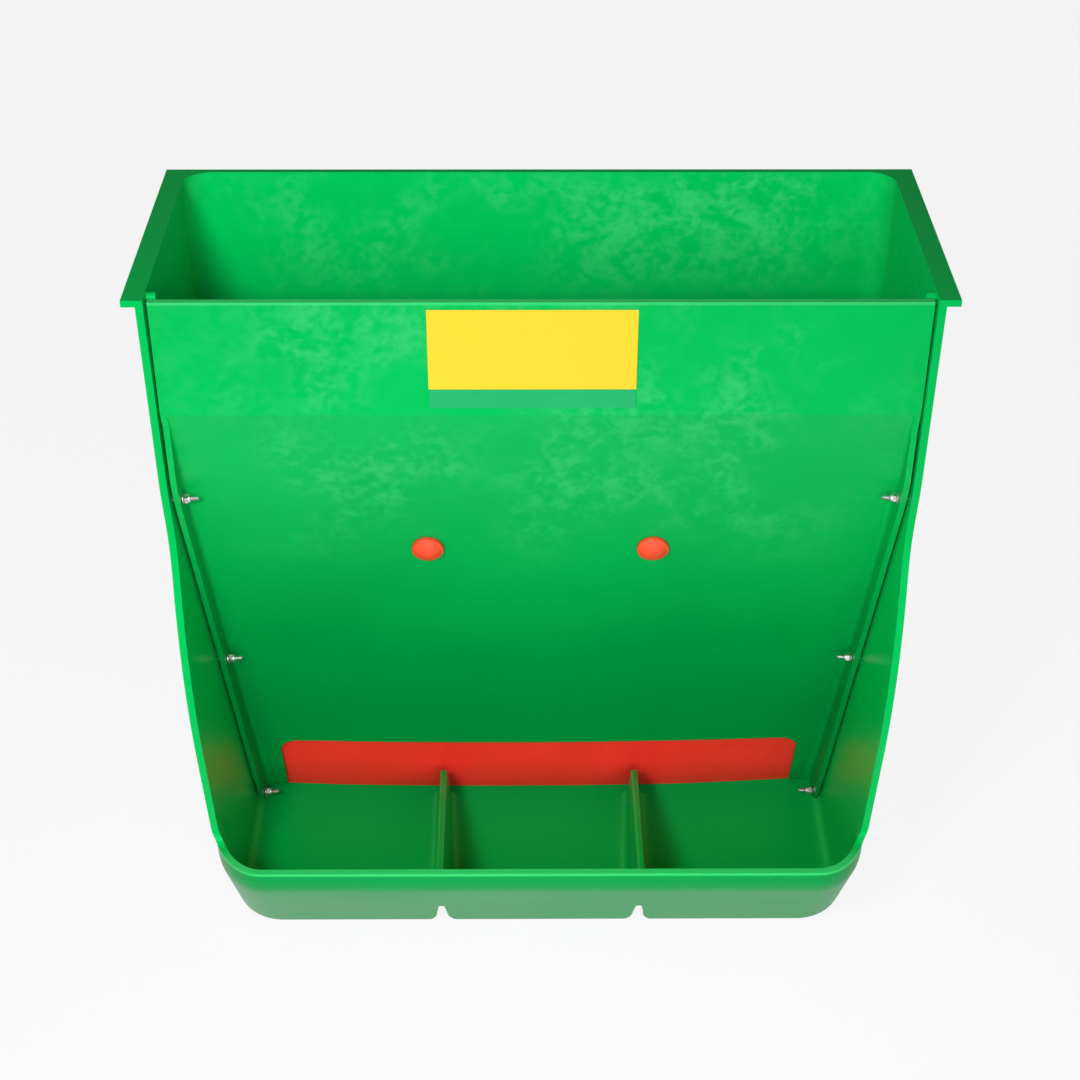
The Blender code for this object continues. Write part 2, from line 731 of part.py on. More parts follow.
def knob_profile():
    """Dome, rounded edge, skirt and flat underside with a socket for the stud."""
    height = KNOB_SKIRT + KNOB_CROWN
    edge = KNOB_RADIUS - KNOB_EDGE_RADIUS
    dome = (edge**2 + KNOB_CROWN**2) / (2 * KNOB_CROWN)
    spread = math.asin(edge / dome)
    turns = [spread * step / FILLET_STEPS for step in range(FILLET_STEPS + 1)]
    top = [(dome * (1 - math.cos(a)) - height, dome * math.sin(a)) for a in turns]
    rim = [(-KNOB_SKIRT + KNOB_EDGE_RADIUS, KNOB_RADIUS), (0, KNOB_RADIUS - KNOB_EDGE_RADIUS / 3)]
    socket = STUD_RADIUS + SEAT
    return top + rim + [(0, socket), (-KNOB_SOCKET_DEPTH, socket), (-KNOB_SOCKET_DEPTH, 0)]


def build_knobs(knob_finish, steel):
    """Each knob turns with its stud about the stud's axis, which washer and nut share."""
    knob = turned_mesh("knob", knob_profile(), KNOB_SIDES)
    washer_near = -GATE_BACK + 2 * SEAT
    nut_near = washer_near + CLAMP_WASHER_THICKNESS + SEAT
    stud_end = nut_near + CLAMP_NUT_HEIGHT + STUD_TAIL
    stud_start = SEAT - KNOB_SOCKET_DEPTH
    shank = [(stud_start, 0), (stud_start, STUD_RADIUS), (stud_end, STUD_RADIUS), (stud_end, 0)]
    stud = turned_mesh("stud", shank, BORE_SIDES)
    bore = STUD_RADIUS + SEAT
    washer_far = washer_near + CLAMP_WASHER_THICKNESS
    nut_far = nut_near + CLAMP_NUT_HEIGHT
    washer = tube_mesh("clamp_washer", CLAMP_WASHER_RADIUS, BORE_SIDES, bore, washer_near, washer_far)
    nut = tube_mesh("clamp_nut", across_flats(CLAMP_NUT_FLATS), 6, bore, nut_near, nut_far)
    across = Vector((1, 0, 0))
    turn = Matrix((-PANEL_OUT, across, (-PANEL_OUT).cross(across))).transposed().to_4x4()
    for side, hand in ((-1, "left"), (1, "right")):
        axis = bpy.data.objects.new(f"knob_axis_{hand}", None)
        bpy.context.scene.collection.objects.link(axis)
        place = slope_point(side * KNOB_OFFSET, KNOB_DISTANCE, SEAT)
        axis.matrix_world = Matrix.Translation(place) @ turn
        for name, mesh, finish in (
            ("clamp_knob", knob, knob_finish),
            ("knob_stud", stud, steel),
            ("clamp_washer", washer, steel),
            ("clamp_nut", nut, steel),
        ):
            if not mesh.materials:
                mesh.materials.append(finish)
            new_object(f"{name}_{hand}", mesh).parent = axis


# Bolts, washers and nuts through the side walls


def build_fasteners(steel):
    """Each bolt goes through the wall and the rib; washer and nut sit on the rib's inner face."""
    bore = BOLT_RADIUS + SEAT
    washer_seat = WALL + PANEL_SIDE_GAP + RIB_THICKNESS + SEAT
    nut_seat = washer_seat + WASHER_THICKNESS + SEAT
    bolt = bolt_mesh("side_bolt", nut_seat + NUT_HEIGHT + BOLT_TIP)
    washer = tube_mesh("side_washer", WASHER_RADIUS, BORE_SIDES, bore, 0, WASHER_THICKNESS)
    nut = tube_mesh("side_nut", across_flats(NUT_FLATS), 6, bore, 0, NUT_HEIGHT)
    for mesh in (bolt, washer, nut):
        mesh.materials.append(steel)
    for index, (side, place) in enumerate(bolt_places()):
        ending = f"{'left' if side < 0 else 'right'}_{index % BOLT_COUNT + 1}"
        frame = bolt_frame(side, place)
        for name, mesh, along in (
            ("side_bolt", bolt, 0),
            ("side_washer", washer, washer_seat),
            ("side_nut", nut, nut_seat),
        ):
            piece = new_object(f"{name}_{ending}", mesh)
            piece.matrix_world = frame @ Matrix.Translation((along, 0, 0))


# Label


def build_label(finish, band_finish):
    """The label's yellow field and the narrow band under it."""
    near = PANEL_FACE - SEAT - LABEL_THICKNESS
    far = PANEL_FACE - SEAT
    left = LABEL_OFFSET - LABEL_WIDTH / 2
    top = BODY_HEIGHT - LABEL_TOP_DROP
    split = top - LABEL_HEIGHT + LABEL_BAND
    for name, low, high, look in (
        ("label_field", split + SEAT, top, finish),
        ("label_band", top - LABEL_HEIGHT, split, band_finish),
    ):
        outline = [(near, low), (far, low), (far, high), (near, high)]
        new_object(name, extrude_along_x(name, outline, left, left + LABEL_WIDTH), look)


def main():
    for old in list(bpy.data.objects):
        bpy.data.objects.remove(old, do_unlink=True)
    green = material("moulded_green", (0.0, 0.33, 0.09), 0.35)
    panel_green = material("panel_green", (0.0, 0.36, 0.10), 0.4)
    gate_red = material("gate_red", (0.68, 0.03, 0.02), 0.4)
    knob_red = material("knob_red", (0.90, 0.11, 0.05), 0.45)
    zinc = material("zinc_steel", (0.62, 0.62, 0.60), 0.35, 1.0)
    yellow = material("label_yellow", (1.0, 0.74, 0.03), 0.4)
    teal = material("label_teal", (0.0, 0.37, 0.16), 0.4)
    cutter("bolt_bores", bolt_hole_mesh())
    build_body(green)
    build_panel(panel_green)
    build_gate(gate_red)
    build_knobs(knob_red, zinc)
    build_fasteners(zinc)
    build_label(yellow, teal)


main()
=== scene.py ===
"""Lamb feed hopper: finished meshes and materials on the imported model."""

import math
import random

import bmesh
import bpy
from mathutils import Matrix, Vector


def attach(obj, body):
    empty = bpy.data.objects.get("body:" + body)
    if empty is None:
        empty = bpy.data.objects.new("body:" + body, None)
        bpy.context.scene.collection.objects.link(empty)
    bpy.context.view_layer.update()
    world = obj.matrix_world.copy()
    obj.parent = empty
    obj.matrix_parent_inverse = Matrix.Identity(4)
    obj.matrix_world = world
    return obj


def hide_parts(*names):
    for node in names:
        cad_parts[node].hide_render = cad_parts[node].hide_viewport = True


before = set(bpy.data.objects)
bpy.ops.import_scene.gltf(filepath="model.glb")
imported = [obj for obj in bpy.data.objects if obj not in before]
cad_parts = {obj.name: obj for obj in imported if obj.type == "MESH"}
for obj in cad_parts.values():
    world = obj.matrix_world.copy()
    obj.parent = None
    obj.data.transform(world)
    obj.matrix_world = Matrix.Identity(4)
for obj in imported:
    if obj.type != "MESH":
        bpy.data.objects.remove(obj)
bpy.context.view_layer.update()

# Body sizes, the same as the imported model's
TOP = 0.605
BACK = 0.235
FRONT = -0.07075
WALL = 0.006
RIM_HALF = 0.3005
SHOULDER = 0.430
SHOULDER_HALF = 0.2988
FOOT_HALF = 0.2725
BOTTOM_RADIUS = 0.012
FLOOR_RADIUS = 0.013
BACK_CORNER = 0.028
CHUTE_HEIGHT = 0.105
CHUTE_FOOT = 0.165
LIP_REACH = 0.0935
LIP = 0.116
LIP_BAND = 0.018
TROUGH_FOOT = 0.032
FOOT_CORNER = (0.040, 0.048)
LIP_CORNER = (0.046, 0.067)
EDGE_CORNER = (0.040, 0.040)
EDGE_REACH = 0.050
EDGE_TOP = 0.417
EDGE_BOTTOM = 0.205
EDGE_SHARE = 0.26
EDGE_FOOT = 0.015
FLANGE_HALF = 0.311
FLANGE = 0.0055
LOWER_FLARE = (SHOULDER_HALF - FOOT_HALF) / SHOULDER
UPPER_FLARE = (RIM_HALF - SHOULDER_HALF) / (TOP - SHOULDER)
LIP_FLARE = (LIP_REACH - TROUGH_FOOT) / (LIP - LIP_BAND)
CHUTE_FLARE = (BACK - CHUTE_FOOT) / CHUTE_HEIGHT

# Panel, gate and fastener sizes
BEND = TOP - 0.100
SLOPE = math.radians(15.2)
FACE = FRONT + 0.003
PANEL = 0.005
SIDE_GAP = 0.0024
FOOT_GAP = 0.0045
TOP_SIDE_GAP = 0.0025
RIB = 0.0048
RIB_ROOT = 0.004
RIB_FOOT_ROOT = 0.010
OUT = Vector((0, -math.cos(SLOPE), -math.sin(SLOPE)))
DOWN = Vector((0, math.sin(SLOPE), -math.cos(SLOPE)))
WINDOW_TOP = 0.437
GATE_FACE = -0.0054
GATE = 0.004
GATE_TOP = 0.118
GATE_HALF = 0.251
GATE_CORNER = 0.010
GATE_TRAVEL = 0.060
SLOT_HALF = 0.0044
STUD_OFFSET = 0.093
STUD_DOWN = 0.1562
SEAT = 0.0003

# The ribs' front edges lean back a little less than the sheet
RIB_SLOPE = math.radians(14.5)
RIB_OUT = Vector((0, -math.cos(RIB_SLOPE), -math.sin(RIB_SLOPE)))
RIB_DOWN = Vector((0, math.sin(RIB_SLOPE), -math.cos(RIB_SLOPE)))
RIB_START = Vector((0, FACE, BEND - 0.0679))

# The sheet's slight bulge: forward in the middle, back at the sides, growing down to its foot
BULGE_START = 0.24
BULGE_FULL = 0.5158
BULGE_MIDDLE = 0.0037
BULGE_SIDE = 0.0086
BULGE_TILT = 0.0021

# The window at the panel's foot, narrower at its open end
WINDOW_HALF = 0.2425
WINDOW_FOOT_HALF = 0.2403
WINDOW_CORNER = 0.018


def smooth_min(a, b, blend):
    """The smaller of two values, rounded where they cross."""
    share = max(blend - abs(a - b), 0) / blend
    return min(a, b) - share * share * blend / 4


def lerp(a, b, t):
    return a + (b - a) * t


# Body surfaces


def foot_radius(inset):
    return FLOOR_RADIUS if inset else BOTTOM_RADIUS


def wall_reach(height, foot, flare, inset):
    """A flaring wall's reach at a height, with the rounding at its foot."""
    slant = math.hypot(1, flare)
    radius = foot_radius(inset)
    rise = height - inset
    start = foot + flare * inset - inset * slant
    if rise >= radius * (1 - flare / slant):
        return start + flare * rise
    centre = start + flare * radius - radius * slant
    return centre + math.sqrt(max(radius**2 - (radius - rise) ** 2, 0))


def half_width(z, inset=0.0):
    upper = RIM_HALF - UPPER_FLARE * (TOP - z) - inset
    return smooth_min(upper, wall_reach(z, FOOT_HALF, LOWER_FLARE, inset), 0.001)


def front_y(z, inset):
    slope = wall_reach(z, TROUGH_FOOT, LIP_FLARE, inset)
    return FRONT - smooth_min(LIP_REACH - inset, slope, 0.003)


def back_y(z, inset):
    slope = wall_reach(z, CHUTE_FOOT, CHUTE_FLARE, inset)
    return FRONT + smooth_min(BACK - inset, slope, 0.004)


def corner_sizes(z, inset):
    if z <= LIP:
        low, high, share = FOOT_CORNER, LIP_CORNER, z / LIP
    else:
        low, high, share = LIP_CORNER, EDGE_CORNER, min((z - LIP) / EDGE_FOOT, 1)
    return [lerp(a, b, share) - inset for a, b in zip(low, high)]


def edge_y(z):
    """How far forward the side wall reaches above the lip."""
    rise = EDGE_TOP - EDGE_BOTTOM
    turn = 2 * math.atan(EDGE_REACH / rise)
    upper = EDGE_SHARE * rise / math.sin(turn)
    lower = (1 - EDGE_SHARE) * rise / math.sin(turn)
    forward = FRONT - EDGE_REACH
    if z < LIP + EDGE_FOOT:
        return forward - EDGE_FOOT + math.sqrt(max(EDGE_FOOT**2 - (LIP + EDGE_FOOT - z) ** 2, 0))
    if z <= EDGE_BOTTOM:
        return forward
    if z <= EDGE_BOTTOM + lower * math.sin(turn):
        return forward + lower - math.sqrt(lower**2 - (z - EDGE_BOTTOM) ** 2)
    if z <= EDGE_TOP:
        return FRONT - upper + math.sqrt(upper**2 - (EDGE_TOP - z) ** 2)
    return FRONT


def side_x(y, z, inset):
    """Half the width at a depth: the side wall, and the start of the front corner."""
    side = half_width(z, inset)
    across, along = corner_sizes(z, inset)
    start = front_y(max(z, LIP), inset) + along if z > LIP else front_y(z, inset) + along
    if y >= start:
        return side
    share = min((start - y) / along, 1)
    return side - across + across * math.sqrt(1 - share * share)


# Steps of the body's grids
SIDE_STEPS = 14
TURN_STEPS = 5
FRONT_TURN_STEPS = 8
FRONT_STEPS = 13
BACK_TURN_STEPS = 10
BACK_STEPS = 13
EDGE_COLUMN = BACK_STEPS + BACK_TURN_STEPS + SIDE_STEPS + TURN_STEPS
HALF_COLUMNS = EDGE_COLUMN + FRONT_TURN_STEPS + FRONT_STEPS
FILLET_ROWS = 8
LOW_ROWS = 14
LIP_ROW = FILLET_ROWS + LOW_ROWS


def row_heights(inset):
    """Heights of the rows from the floor to the underside of the flange."""
    radius = foot_radius(inset)
    turns = [math.pi / 2 * i / FILLET_ROWS for i in range(FILLET_ROWS + 1)]
    heights = [inset + radius * (1 - math.cos(turn)) for turn in turns]
    heights += [lerp(heights[FILLET_ROWS], LIP, i / LOW_ROWS) for i in range(1, LOW_ROWS + 1)]
    heights += [LIP + EDGE_FOOT * (1 - math.cos(math.pi / 2 * i / 6)) for i in range(1, 7)]
    for low, high, steps in (
        (LIP + EDGE_FOOT, EDGE_BOTTOM, 6),
        (EDGE_BOTTOM, EDGE_TOP, 20),
        (EDGE_TOP, TOP - FLANGE, 14),
    ):
        heights += [lerp(low, high, i / steps) for i in range(1, steps + 1)]
    return heights


def half_loop(z, inset, above):
    """Points (x, y) from the middle of the back to the middle of the front, on the right side.

    Above the lip the loop stops at the side wall's front edge.
    """
    side = half_width(z, inset)
    back = back_y(z, inset)
    turn = BACK_CORNER - inset
    points = [((side - turn) * i / BACK_STEPS, back) for i in range(BACK_STEPS)]
    for i in range(BACK_TURN_STEPS):
        angle = math.pi / 2 * i / BACK_TURN_STEPS
        points.append((side - turn + turn * math.sin(angle), back - turn + turn * math.cos(angle)))
    across, along = corner_sizes(z, inset)
    reach = LIP_CORNER[1] - inset
    seam = math.asin((reach - LIP_REACH + inset + EDGE_REACH + EDGE_FOOT) / reach)
    band = reach * math.sin(seam)
    front = front_y(z, inset)
    start = edge_y(z) + band if above else front + along
    for i in range(SIDE_STEPS):
        y = lerp(back - turn, start, i / SIDE_STEPS)
        points.append((side_x(y, z, inset), y))
    for i in range(TURN_STEPS + 1):
        angle = seam * i / TURN_STEPS
        if above:
            y = start - reach * math.sin(angle)
            points.append((side_x(y, z, inset), y))
        else:
            points.append((side - across + across * math.cos(angle), start - along * math.sin(angle)))
    if above:
        return points
    for i in range(1, FRONT_TURN_STEPS + 1):
        angle = lerp(seam, math.pi / 2, i / FRONT_TURN_STEPS)
        points.append((side - across + across * math.cos(angle), start - along * math.sin(angle)))
    points += [((side - across) * (1 - i / FRONT_STEPS), front) for i in range(1, FRONT_STEPS + 1)]
    return points


def both_sides(half):
    return [(-x, y) for x, y in reversed(half[1:])] + half


def flange_half(z):
    """The flange's outline, column by column with the wall's own."""
    edge = []
    corner = half_width(z) - BACK_CORNER
    back = back_y(z, 0.0)
    for index, (x, y) in enumerate(half_loop(z, 0.0, True)):
        share = 2 * (index - BACK_STEPS) / BACK_TURN_STEPS
        if share <= 0:
            edge.append((x, y))
        elif share <= 1:
            edge.append((lerp(corner, FLANGE_HALF, share), back))
        elif share < 2:
            edge.append((FLANGE_HALF, lerp(back, back - BACK_CORNER, share - 1)))
        else:
            edge.append((FLANGE_HALF, y))
    return edge


def build_tub():
    """The body's outer and inner faces on matching grids, joined by its rim."""
    bm = bmesh.new()

    def add_row(z, loop):
        return [bm.verts.new((x, y, z)) for x, y in loop]

    sheets = []
    for inset in (0.0, WALL):
        rows = []
        for level, z in enumerate(row_heights(inset)):
            above = level > LIP_ROW
            loop = both_sides(half_loop(z, inset, above))
            rows.append(add_row(z, loop if above else loop[:-1]))
        sheets.append(rows)
    outer, inner = sheets
    inner.append(add_row(TOP, both_sides(half_loop(TOP, WALL, True))))
    for z in (TOP - FLANGE, TOP):
        outer.append(add_row(z, both_sides(flange_half(z))))
    first = HALF_COLUMNS - EDGE_COLUMN
    last = HALF_COLUMNS + EDGE_COLUMN
    total = len(outer[0])
    for rows in sheets:
        bm.faces.new(rows[0])
        for level, (low, high) in enumerate(zip(rows, rows[1:])):
            if level < LIP_ROW:
                for i in range(total):
                    j = (i + 1) % total
                    bm.faces.new((low[i], low[j], high[j], high[i]))
            else:
                skip = first if level == LIP_ROW else 0
                for i in range(len(high) - 1):
                    bm.faces.new((low[skip + i], low[skip + i + 1], high[i + 1], high[i]))
    lip_out, lip_in = outer[LIP_ROW], inner[LIP_ROW]
    for step in range((first - last) % total):
        i = (last + step) % total
        j = (i + 1) % total
        bm.faces.new((lip_out[i], lip_out[j], lip_in[j], lip_in[i]))
    under = len(inner) - 2
    for end, start in ((0, first), (-1, last)):
        low_out, low_in = lip_out[start], lip_in[start]
        for level in range(LIP_ROW + 1, under + 1):
            bm.faces.new((low_out, outer[level][end], inner[level][end], low_in))
            low_out, low_in = outer[level][end], inner[level][end]
        bm.faces.new((low_out, outer[under + 1][end], outer[under + 2][end], inner[under + 1][end], low_in))
    for i in range(len(inner[-1]) - 1):
        bm.faces.new((outer[-1][i], outer[-1][i + 1], inner[-1][i + 1], inner[-1][i]))
    bmesh.ops.remove_doubles(bm, verts=bm.verts, dist=1e-5)
    return bm


# Mesh helpers


def add_sleeve(bm, near, far):
    for i in range(len(near)):
        j = (i + 1) % len(near)
        bm.faces.new((near[i], near[j], far[j], far[i]))


def add_grid_faces(bm, grid):
    for low, high in zip(grid, grid[1:]):
        for i in range(len(low) - 1):
            bm.faces.new((low[i], low[i + 1], high[i + 1], high[i]))


def join_loops(bm, loops):
    rings = [[bm.verts.new(point) for point in loop] for loop in loops]
    for low, high in zip(rings, rings[1:]):
        add_sleeve(bm, low, high)
    bm.faces.new(rings[0])
    bm.faces.new(rings[-1])


def finish_mesh(name, bm, angle=32):
    bmesh.ops.recalc_face_normals(bm, faces=bm.faces)
    mesh = bpy.data.meshes.new(name)
    bm.to_mesh(mesh)
    bm.free()
    mesh.shade_smooth()
    mesh.set_sharp_from_angle(angle=math.radians(angle))
    return mesh


def new_piece(name, bm, angle=32):
    piece = bpy.data.objects.new(name, finish_mesh(name, bm, angle))
    bpy.context.scene.collection.objects.link(piece)
    return piece


def add_bevel(piece, width, segments, angle=50):
    bevel = piece.modifiers.new("edges", "BEVEL")
    bevel.width = width
    bevel.segments = segments
    bevel.limit_method = "ANGLE"
    bevel.angle_limit = math.radians(angle)
    bevel.harden_normals = False


def add_cut(piece, bm, operation):
    tool = new_piece(f"tool_{operation.lower()}", bm)
    cut = piece.modifiers.new(operation.lower(), "BOOLEAN")
    cut.operation = operation
    cut.solver = "EXACT"
    cut.object = tool
    return tool


def settle(piece, tools, angle=32):
    """Keeps the result of a piece's modifiers as its own mesh, and drops the tools."""
    graph = bpy.context.evaluated_depsgraph_get()
    mesh = bpy.data.meshes.new_from_object(piece.evaluated_get(graph))
    piece.modifiers.clear()
    piece.data = mesh
    mesh.shade_smooth()
    mesh.set_sharp_from_angle(angle=math.radians(angle))
    for tool in tools:
        bpy.data.objects.remove(tool, do_unlink=True)
    soften = piece.modifiers.new("normals", "WEIGHTED_NORMAL")
    soften.keep_sharp = True
    soften.weight = 50


def arc(centre, radius, start, end, steps):
    angles = [lerp(start, end, i / steps) for i in range(steps + 1)]
    return [(centre[0] + radius * math.cos(a), centre[1] + radius * math.sin(a)) for a in angles]


def slope_point(across, down, out):
    return Vector((across, FACE, BEND)) + DOWN * down + OUT * out


def slope_offset(point):
    """A point's distances down the slope and out of the flat sheet."""
    way = point - Vector((0, FACE, BEND))
    return way.dot(DOWN), way.dot(OUT)


# Dividers and the grooves under them

# Where each divider lies across the body, at its near end and at its far end
DIVIDERS = ((-0.085, -0.090), (0.085, 0.090))
NEAR_HEIGHT = 0.113
FAR_HEIGHT = 0.047
FAR_END = 0.118
CROWN = 0.003
DIVIDER_LEAN = 0.05


def divider_outline(height):
    """One divider's outline across its length, from below the floor to its rounded top."""
    foot = CROWN + DIVIDER_LEAN * (height - WALL)
    fillet = 0.012
    half = [(foot + fillet, WALL / 2)]
    half += arc((foot + fillet, WALL + fillet), fillet, -math.pi / 2, -math.pi, 9)
    half += arc((0, height - CROWN), CROWN, 0, math.pi / 2, 6)
    return half + [(-x, z) for x, z in reversed(half[:-1])]


def divider_bmesh():
    """Both dividers: near ends inside the trough's front wall, far ends leaning with the sheet."""
    bm = bmesh.new()
    for front, back in DIVIDERS:
        near = [(front + x, front_y(z, WALL / 2), z) for x, z in divider_outline(NEAR_HEIGHT)]
        far = [
            (back + x, FRONT + FAR_END + math.tan(SLOPE) * (FAR_HEIGHT - z), z)
            for x, z in divider_outline(FAR_HEIGHT)
        ]
        join_loops(bm, [near, far])
    bmesh.ops.recalc_face_normals(bm, faces=bm.faces)
    return bm


def groove_section(centre, depth, height, foot, top, flare):
    """A groove's outline across its length: flared at the ground, rounded at its roof."""
    across, up = flare
    half = [(foot + across, -0.02)]
    half += [(foot + across * u, up * v) for u, v in arc((1, 1), 1, -math.pi / 2, -math.pi, 9)]
    roof = top * 0.8
    for i in range(6):
        turn = math.pi / 2 * i / 5
        half.append((lerp(top, top - roof, 1 - math.cos(turn)), height - roof * (1 - math.sin(turn))))
    outline = half + [(-x, z) for x, z in reversed(half)]
    return [(centre + x, FRONT + depth, z) for x, z in outline]


def groove_bmesh():
    """The hollows under both dividers, open at the trough's sloping front."""
    bm = bmesh.new()
    for front, back in DIVIDERS:
        sections = []
        for centre, depth, divider, height, flare in (
            (front, -LIP_REACH - WALL, NEAR_HEIGHT, 0.052, (0.020, 0.030)),
            (back, FAR_END - WALL, FAR_HEIGHT, 0.027, (0.004, 0.012)),
        ):
            foot = DIVIDER_LEAN * (divider - WALL)
            top = DIVIDER_LEAN * (divider - height)
            sections.append(groove_section(centre, depth, height, foot, max(top, 0.0008), flare))
        join_loops(bm, sections)
    bmesh.ops.recalc_face_normals(bm, faces=bm.faces)
    return bm


def lug_bmesh():
    """The round lugs on the side walls, behind the panel's top corners."""
    bm = bmesh.new()
    centre = (FACE + PANEL + 0.0085, TOP - 0.0055)
    outline = arc(centre, 0.0042, 0, 2 * math.pi, 24)[:-1]
    tip = RIM_HALF - WALL - 0.0075
    root = RIM_HALF - WALL / 2
    for side in (-1, 1):
        join_loops(bm, [[(side * x, y, z) for y, z in outline] for x in (tip, root)])
    bmesh.ops.recalc_face_normals(bm, faces=bm.faces)
    return bm


def build_body():
    body = new_piece("hopper_body", build_tub(), 40)
    add_bevel(body, 0.0018, 3)
    tools = [add_cut(body, divider_bmesh(), "UNION"), add_cut(body, lug_bmesh(), "UNION")]
    tools.append(add_cut(body, groove_bmesh(), "DIFFERENCE"))
    tools.append(add_cut(body, bolt_bore_bmesh(), "DIFFERENCE"))
    settle(body, tools, 34)
    return body


# Front panel


def straight_half(z):
    """The panel's half width: the room between the side walls, less the gap."""
    upper = RIM_HALF - UPPER_FLARE * (TOP - z)
    return smooth_min(upper, FOOT_HALF + LOWER_FLARE * z, 0.001) - WALL - SIDE_GAP


def bulge(x, down):
    """How far the sheet stands forward of its flat at a place."""
    growth = max(down - BULGE_START, 0) / (BULGE_FULL - BULGE_START)
    across = x / WINDOW_HALF
    return growth**2 * (BULGE_MIDDLE - BULGE_SIDE * across**2 - BULGE_TILT * across)


def rib_reach(down):
    """How far the ribs stand out of the flat sheet."""
    start = slope_offset(RIB_START)
    leaning = start[1] + (down - start[0]) * math.tan(SLOPE - RIB_SLOPE)
    return smooth_min(leaning, max(down - 0.0008, 0) * math.tan(SLOPE), 0.003)


def panel_section(place, depth, half_at, root, out_at):
    """A closed section of the panel.

    place(x, out) gives its points, depth is how far its ribs stand out, half_at(z) is its half width,
    root is the rounding at the ribs' roots and out_at(x) is the sheet's bulge.
    """
    root = max(min(root, depth), 1e-7)
    half = half_at(place(0, 0).z)
    flat_half = half - RIB - root
    shares = [i / 14 for i in range(15)]
    sides = {}
    for side in (1, -1):
        sheet = out_at(side * flat_half)
        front = [(side * flat_half * share, out_at(side * flat_half * share)) for share in shares]
        turns = [math.pi / 2 * i / 6 for i in range(1, 7)]
        rise = depth - sheet if depth < sheet + root else root
        root_arc = [
            (side * (flat_half + root * math.sin(turn)), sheet + rise * (1 - math.cos(turn))) for turn in turns
        ]
        edge = [(side * (half - RIB), depth), (side * half, depth)]
        back = [(side * half * share, out_at(side * half * share) - PANEL) for share in reversed(shares)]
        sides[side] = front + root_arc + edge + back
    ring = sides[1] + sides[-1][-2:0:-1]
    return [place(x, out) for x, out in ring]


def build_panel():
    bm = bmesh.new()
    loops = []
    upright_half = RIM_HALF - WALL - TOP_SIDE_GAP
    plain = {"depth": 0, "half_at": lambda z: upright_half, "root": 0, "out_at": lambda x: 0}
    for z in (TOP - 0.003, BEND + 0.012, BEND + 0.003):
        loops.append(panel_section(lambda x, out, z=z: Vector((x, FACE - out, z)), **plain))
    bend = 0.006
    centre = Vector((0, FACE + bend, BEND + bend * math.tan(SLOPE / 2)))
    for i in range(7):
        turn = SLOPE * i / 6
        way = Vector((0, -math.cos(turn), -math.sin(turn)))
        loops.append(panel_section(
            lambda x, out, w=way: centre + w * (bend + out) + Vector((x, 0, 0)), **plain
        ))
    foot = (BEND - 0.002) / -DOWN.z
    steps = [0.004 + 0.006 * i for i in range(1, 10)] + [0.0615 + 0.0022 * i for i in range(5)]
    steps += [0.0765, 0.10, 0.14, 0.20, 0.24]
    steps += [lerp(0.26, foot, i / 30) for i in range(31)]
    for down in steps:
        share = min(max((down - 0.43) / (BULGE_FULL - 0.43), 0), 1)
        loops.append(panel_section(
            lambda x, out, d=down: slope_point(x, d, out),
            depth=rib_reach(down),
            half_at=straight_half,
            root=lerp(RIB_ROOT, RIB_FOOT_ROOT, share * share),
            out_at=lambda x, d=down: bulge(x, d),
        ))
    join_loops(bm, loops)
    bmesh.ops.remove_doubles(bm, verts=bm.verts, dist=1e-6)
    panel = new_piece("hopper_panel", bm)
    window = bmesh.new()
    corner = (WINDOW_HALF - WINDOW_CORNER, WINDOW_TOP + WINDOW_CORNER)
    half = [(WINDOW_FOOT_HALF, 0.56)] + arc(corner, WINDOW_CORNER, 0, -math.pi / 2, 12)
    outline = half + [(-x, d) for x, d in reversed(half)]
    join_loops(window, [[slope_point(x, d, out) for x, d in outline] for out in (0.012, -0.02)])
    tools = [add_cut(panel, window, "DIFFERENCE"), add_cut(panel, panel_room_bmesh(), "INTERSECT")]
    tools.append(add_cut(panel, bolt_bore_bmesh(), "DIFFERENCE"))
    add_bevel(panel, 0.0014, 3, 55)
    settle(panel, tools, 34)
    return panel


def panel_room_bmesh():
    """The room at the panel's foot, as rounded as the trough's floor, and wide open above."""
    inset = WALL + SIDE_GAP - 0.0001
    bm = bmesh.new()
    loops = []
    for z in row_heights(inset)[: FILLET_ROWS + 4]:
        loops.append([(x, y, z + FOOT_GAP) for x, y in both_sides(half_loop(z, inset, False))[:-1]])
    top = loops[-1]
    for z in (top[0][2] + 0.001, TOP + 0.01):
        loops.append([(x * 1.3, y * 1.6, z) for x, y, _ in top])
    join_loops(bm, loops)
    bmesh.ops.recalc_face_normals(bm, faces=bm.faces)
    return bm


# Gate


def gate_bulge(x, down):
    """The gate's own bulge: it clears the sheet at every height of its travel."""
    return min(bulge(x, down), bulge(x, down - GATE_TRAVEL))


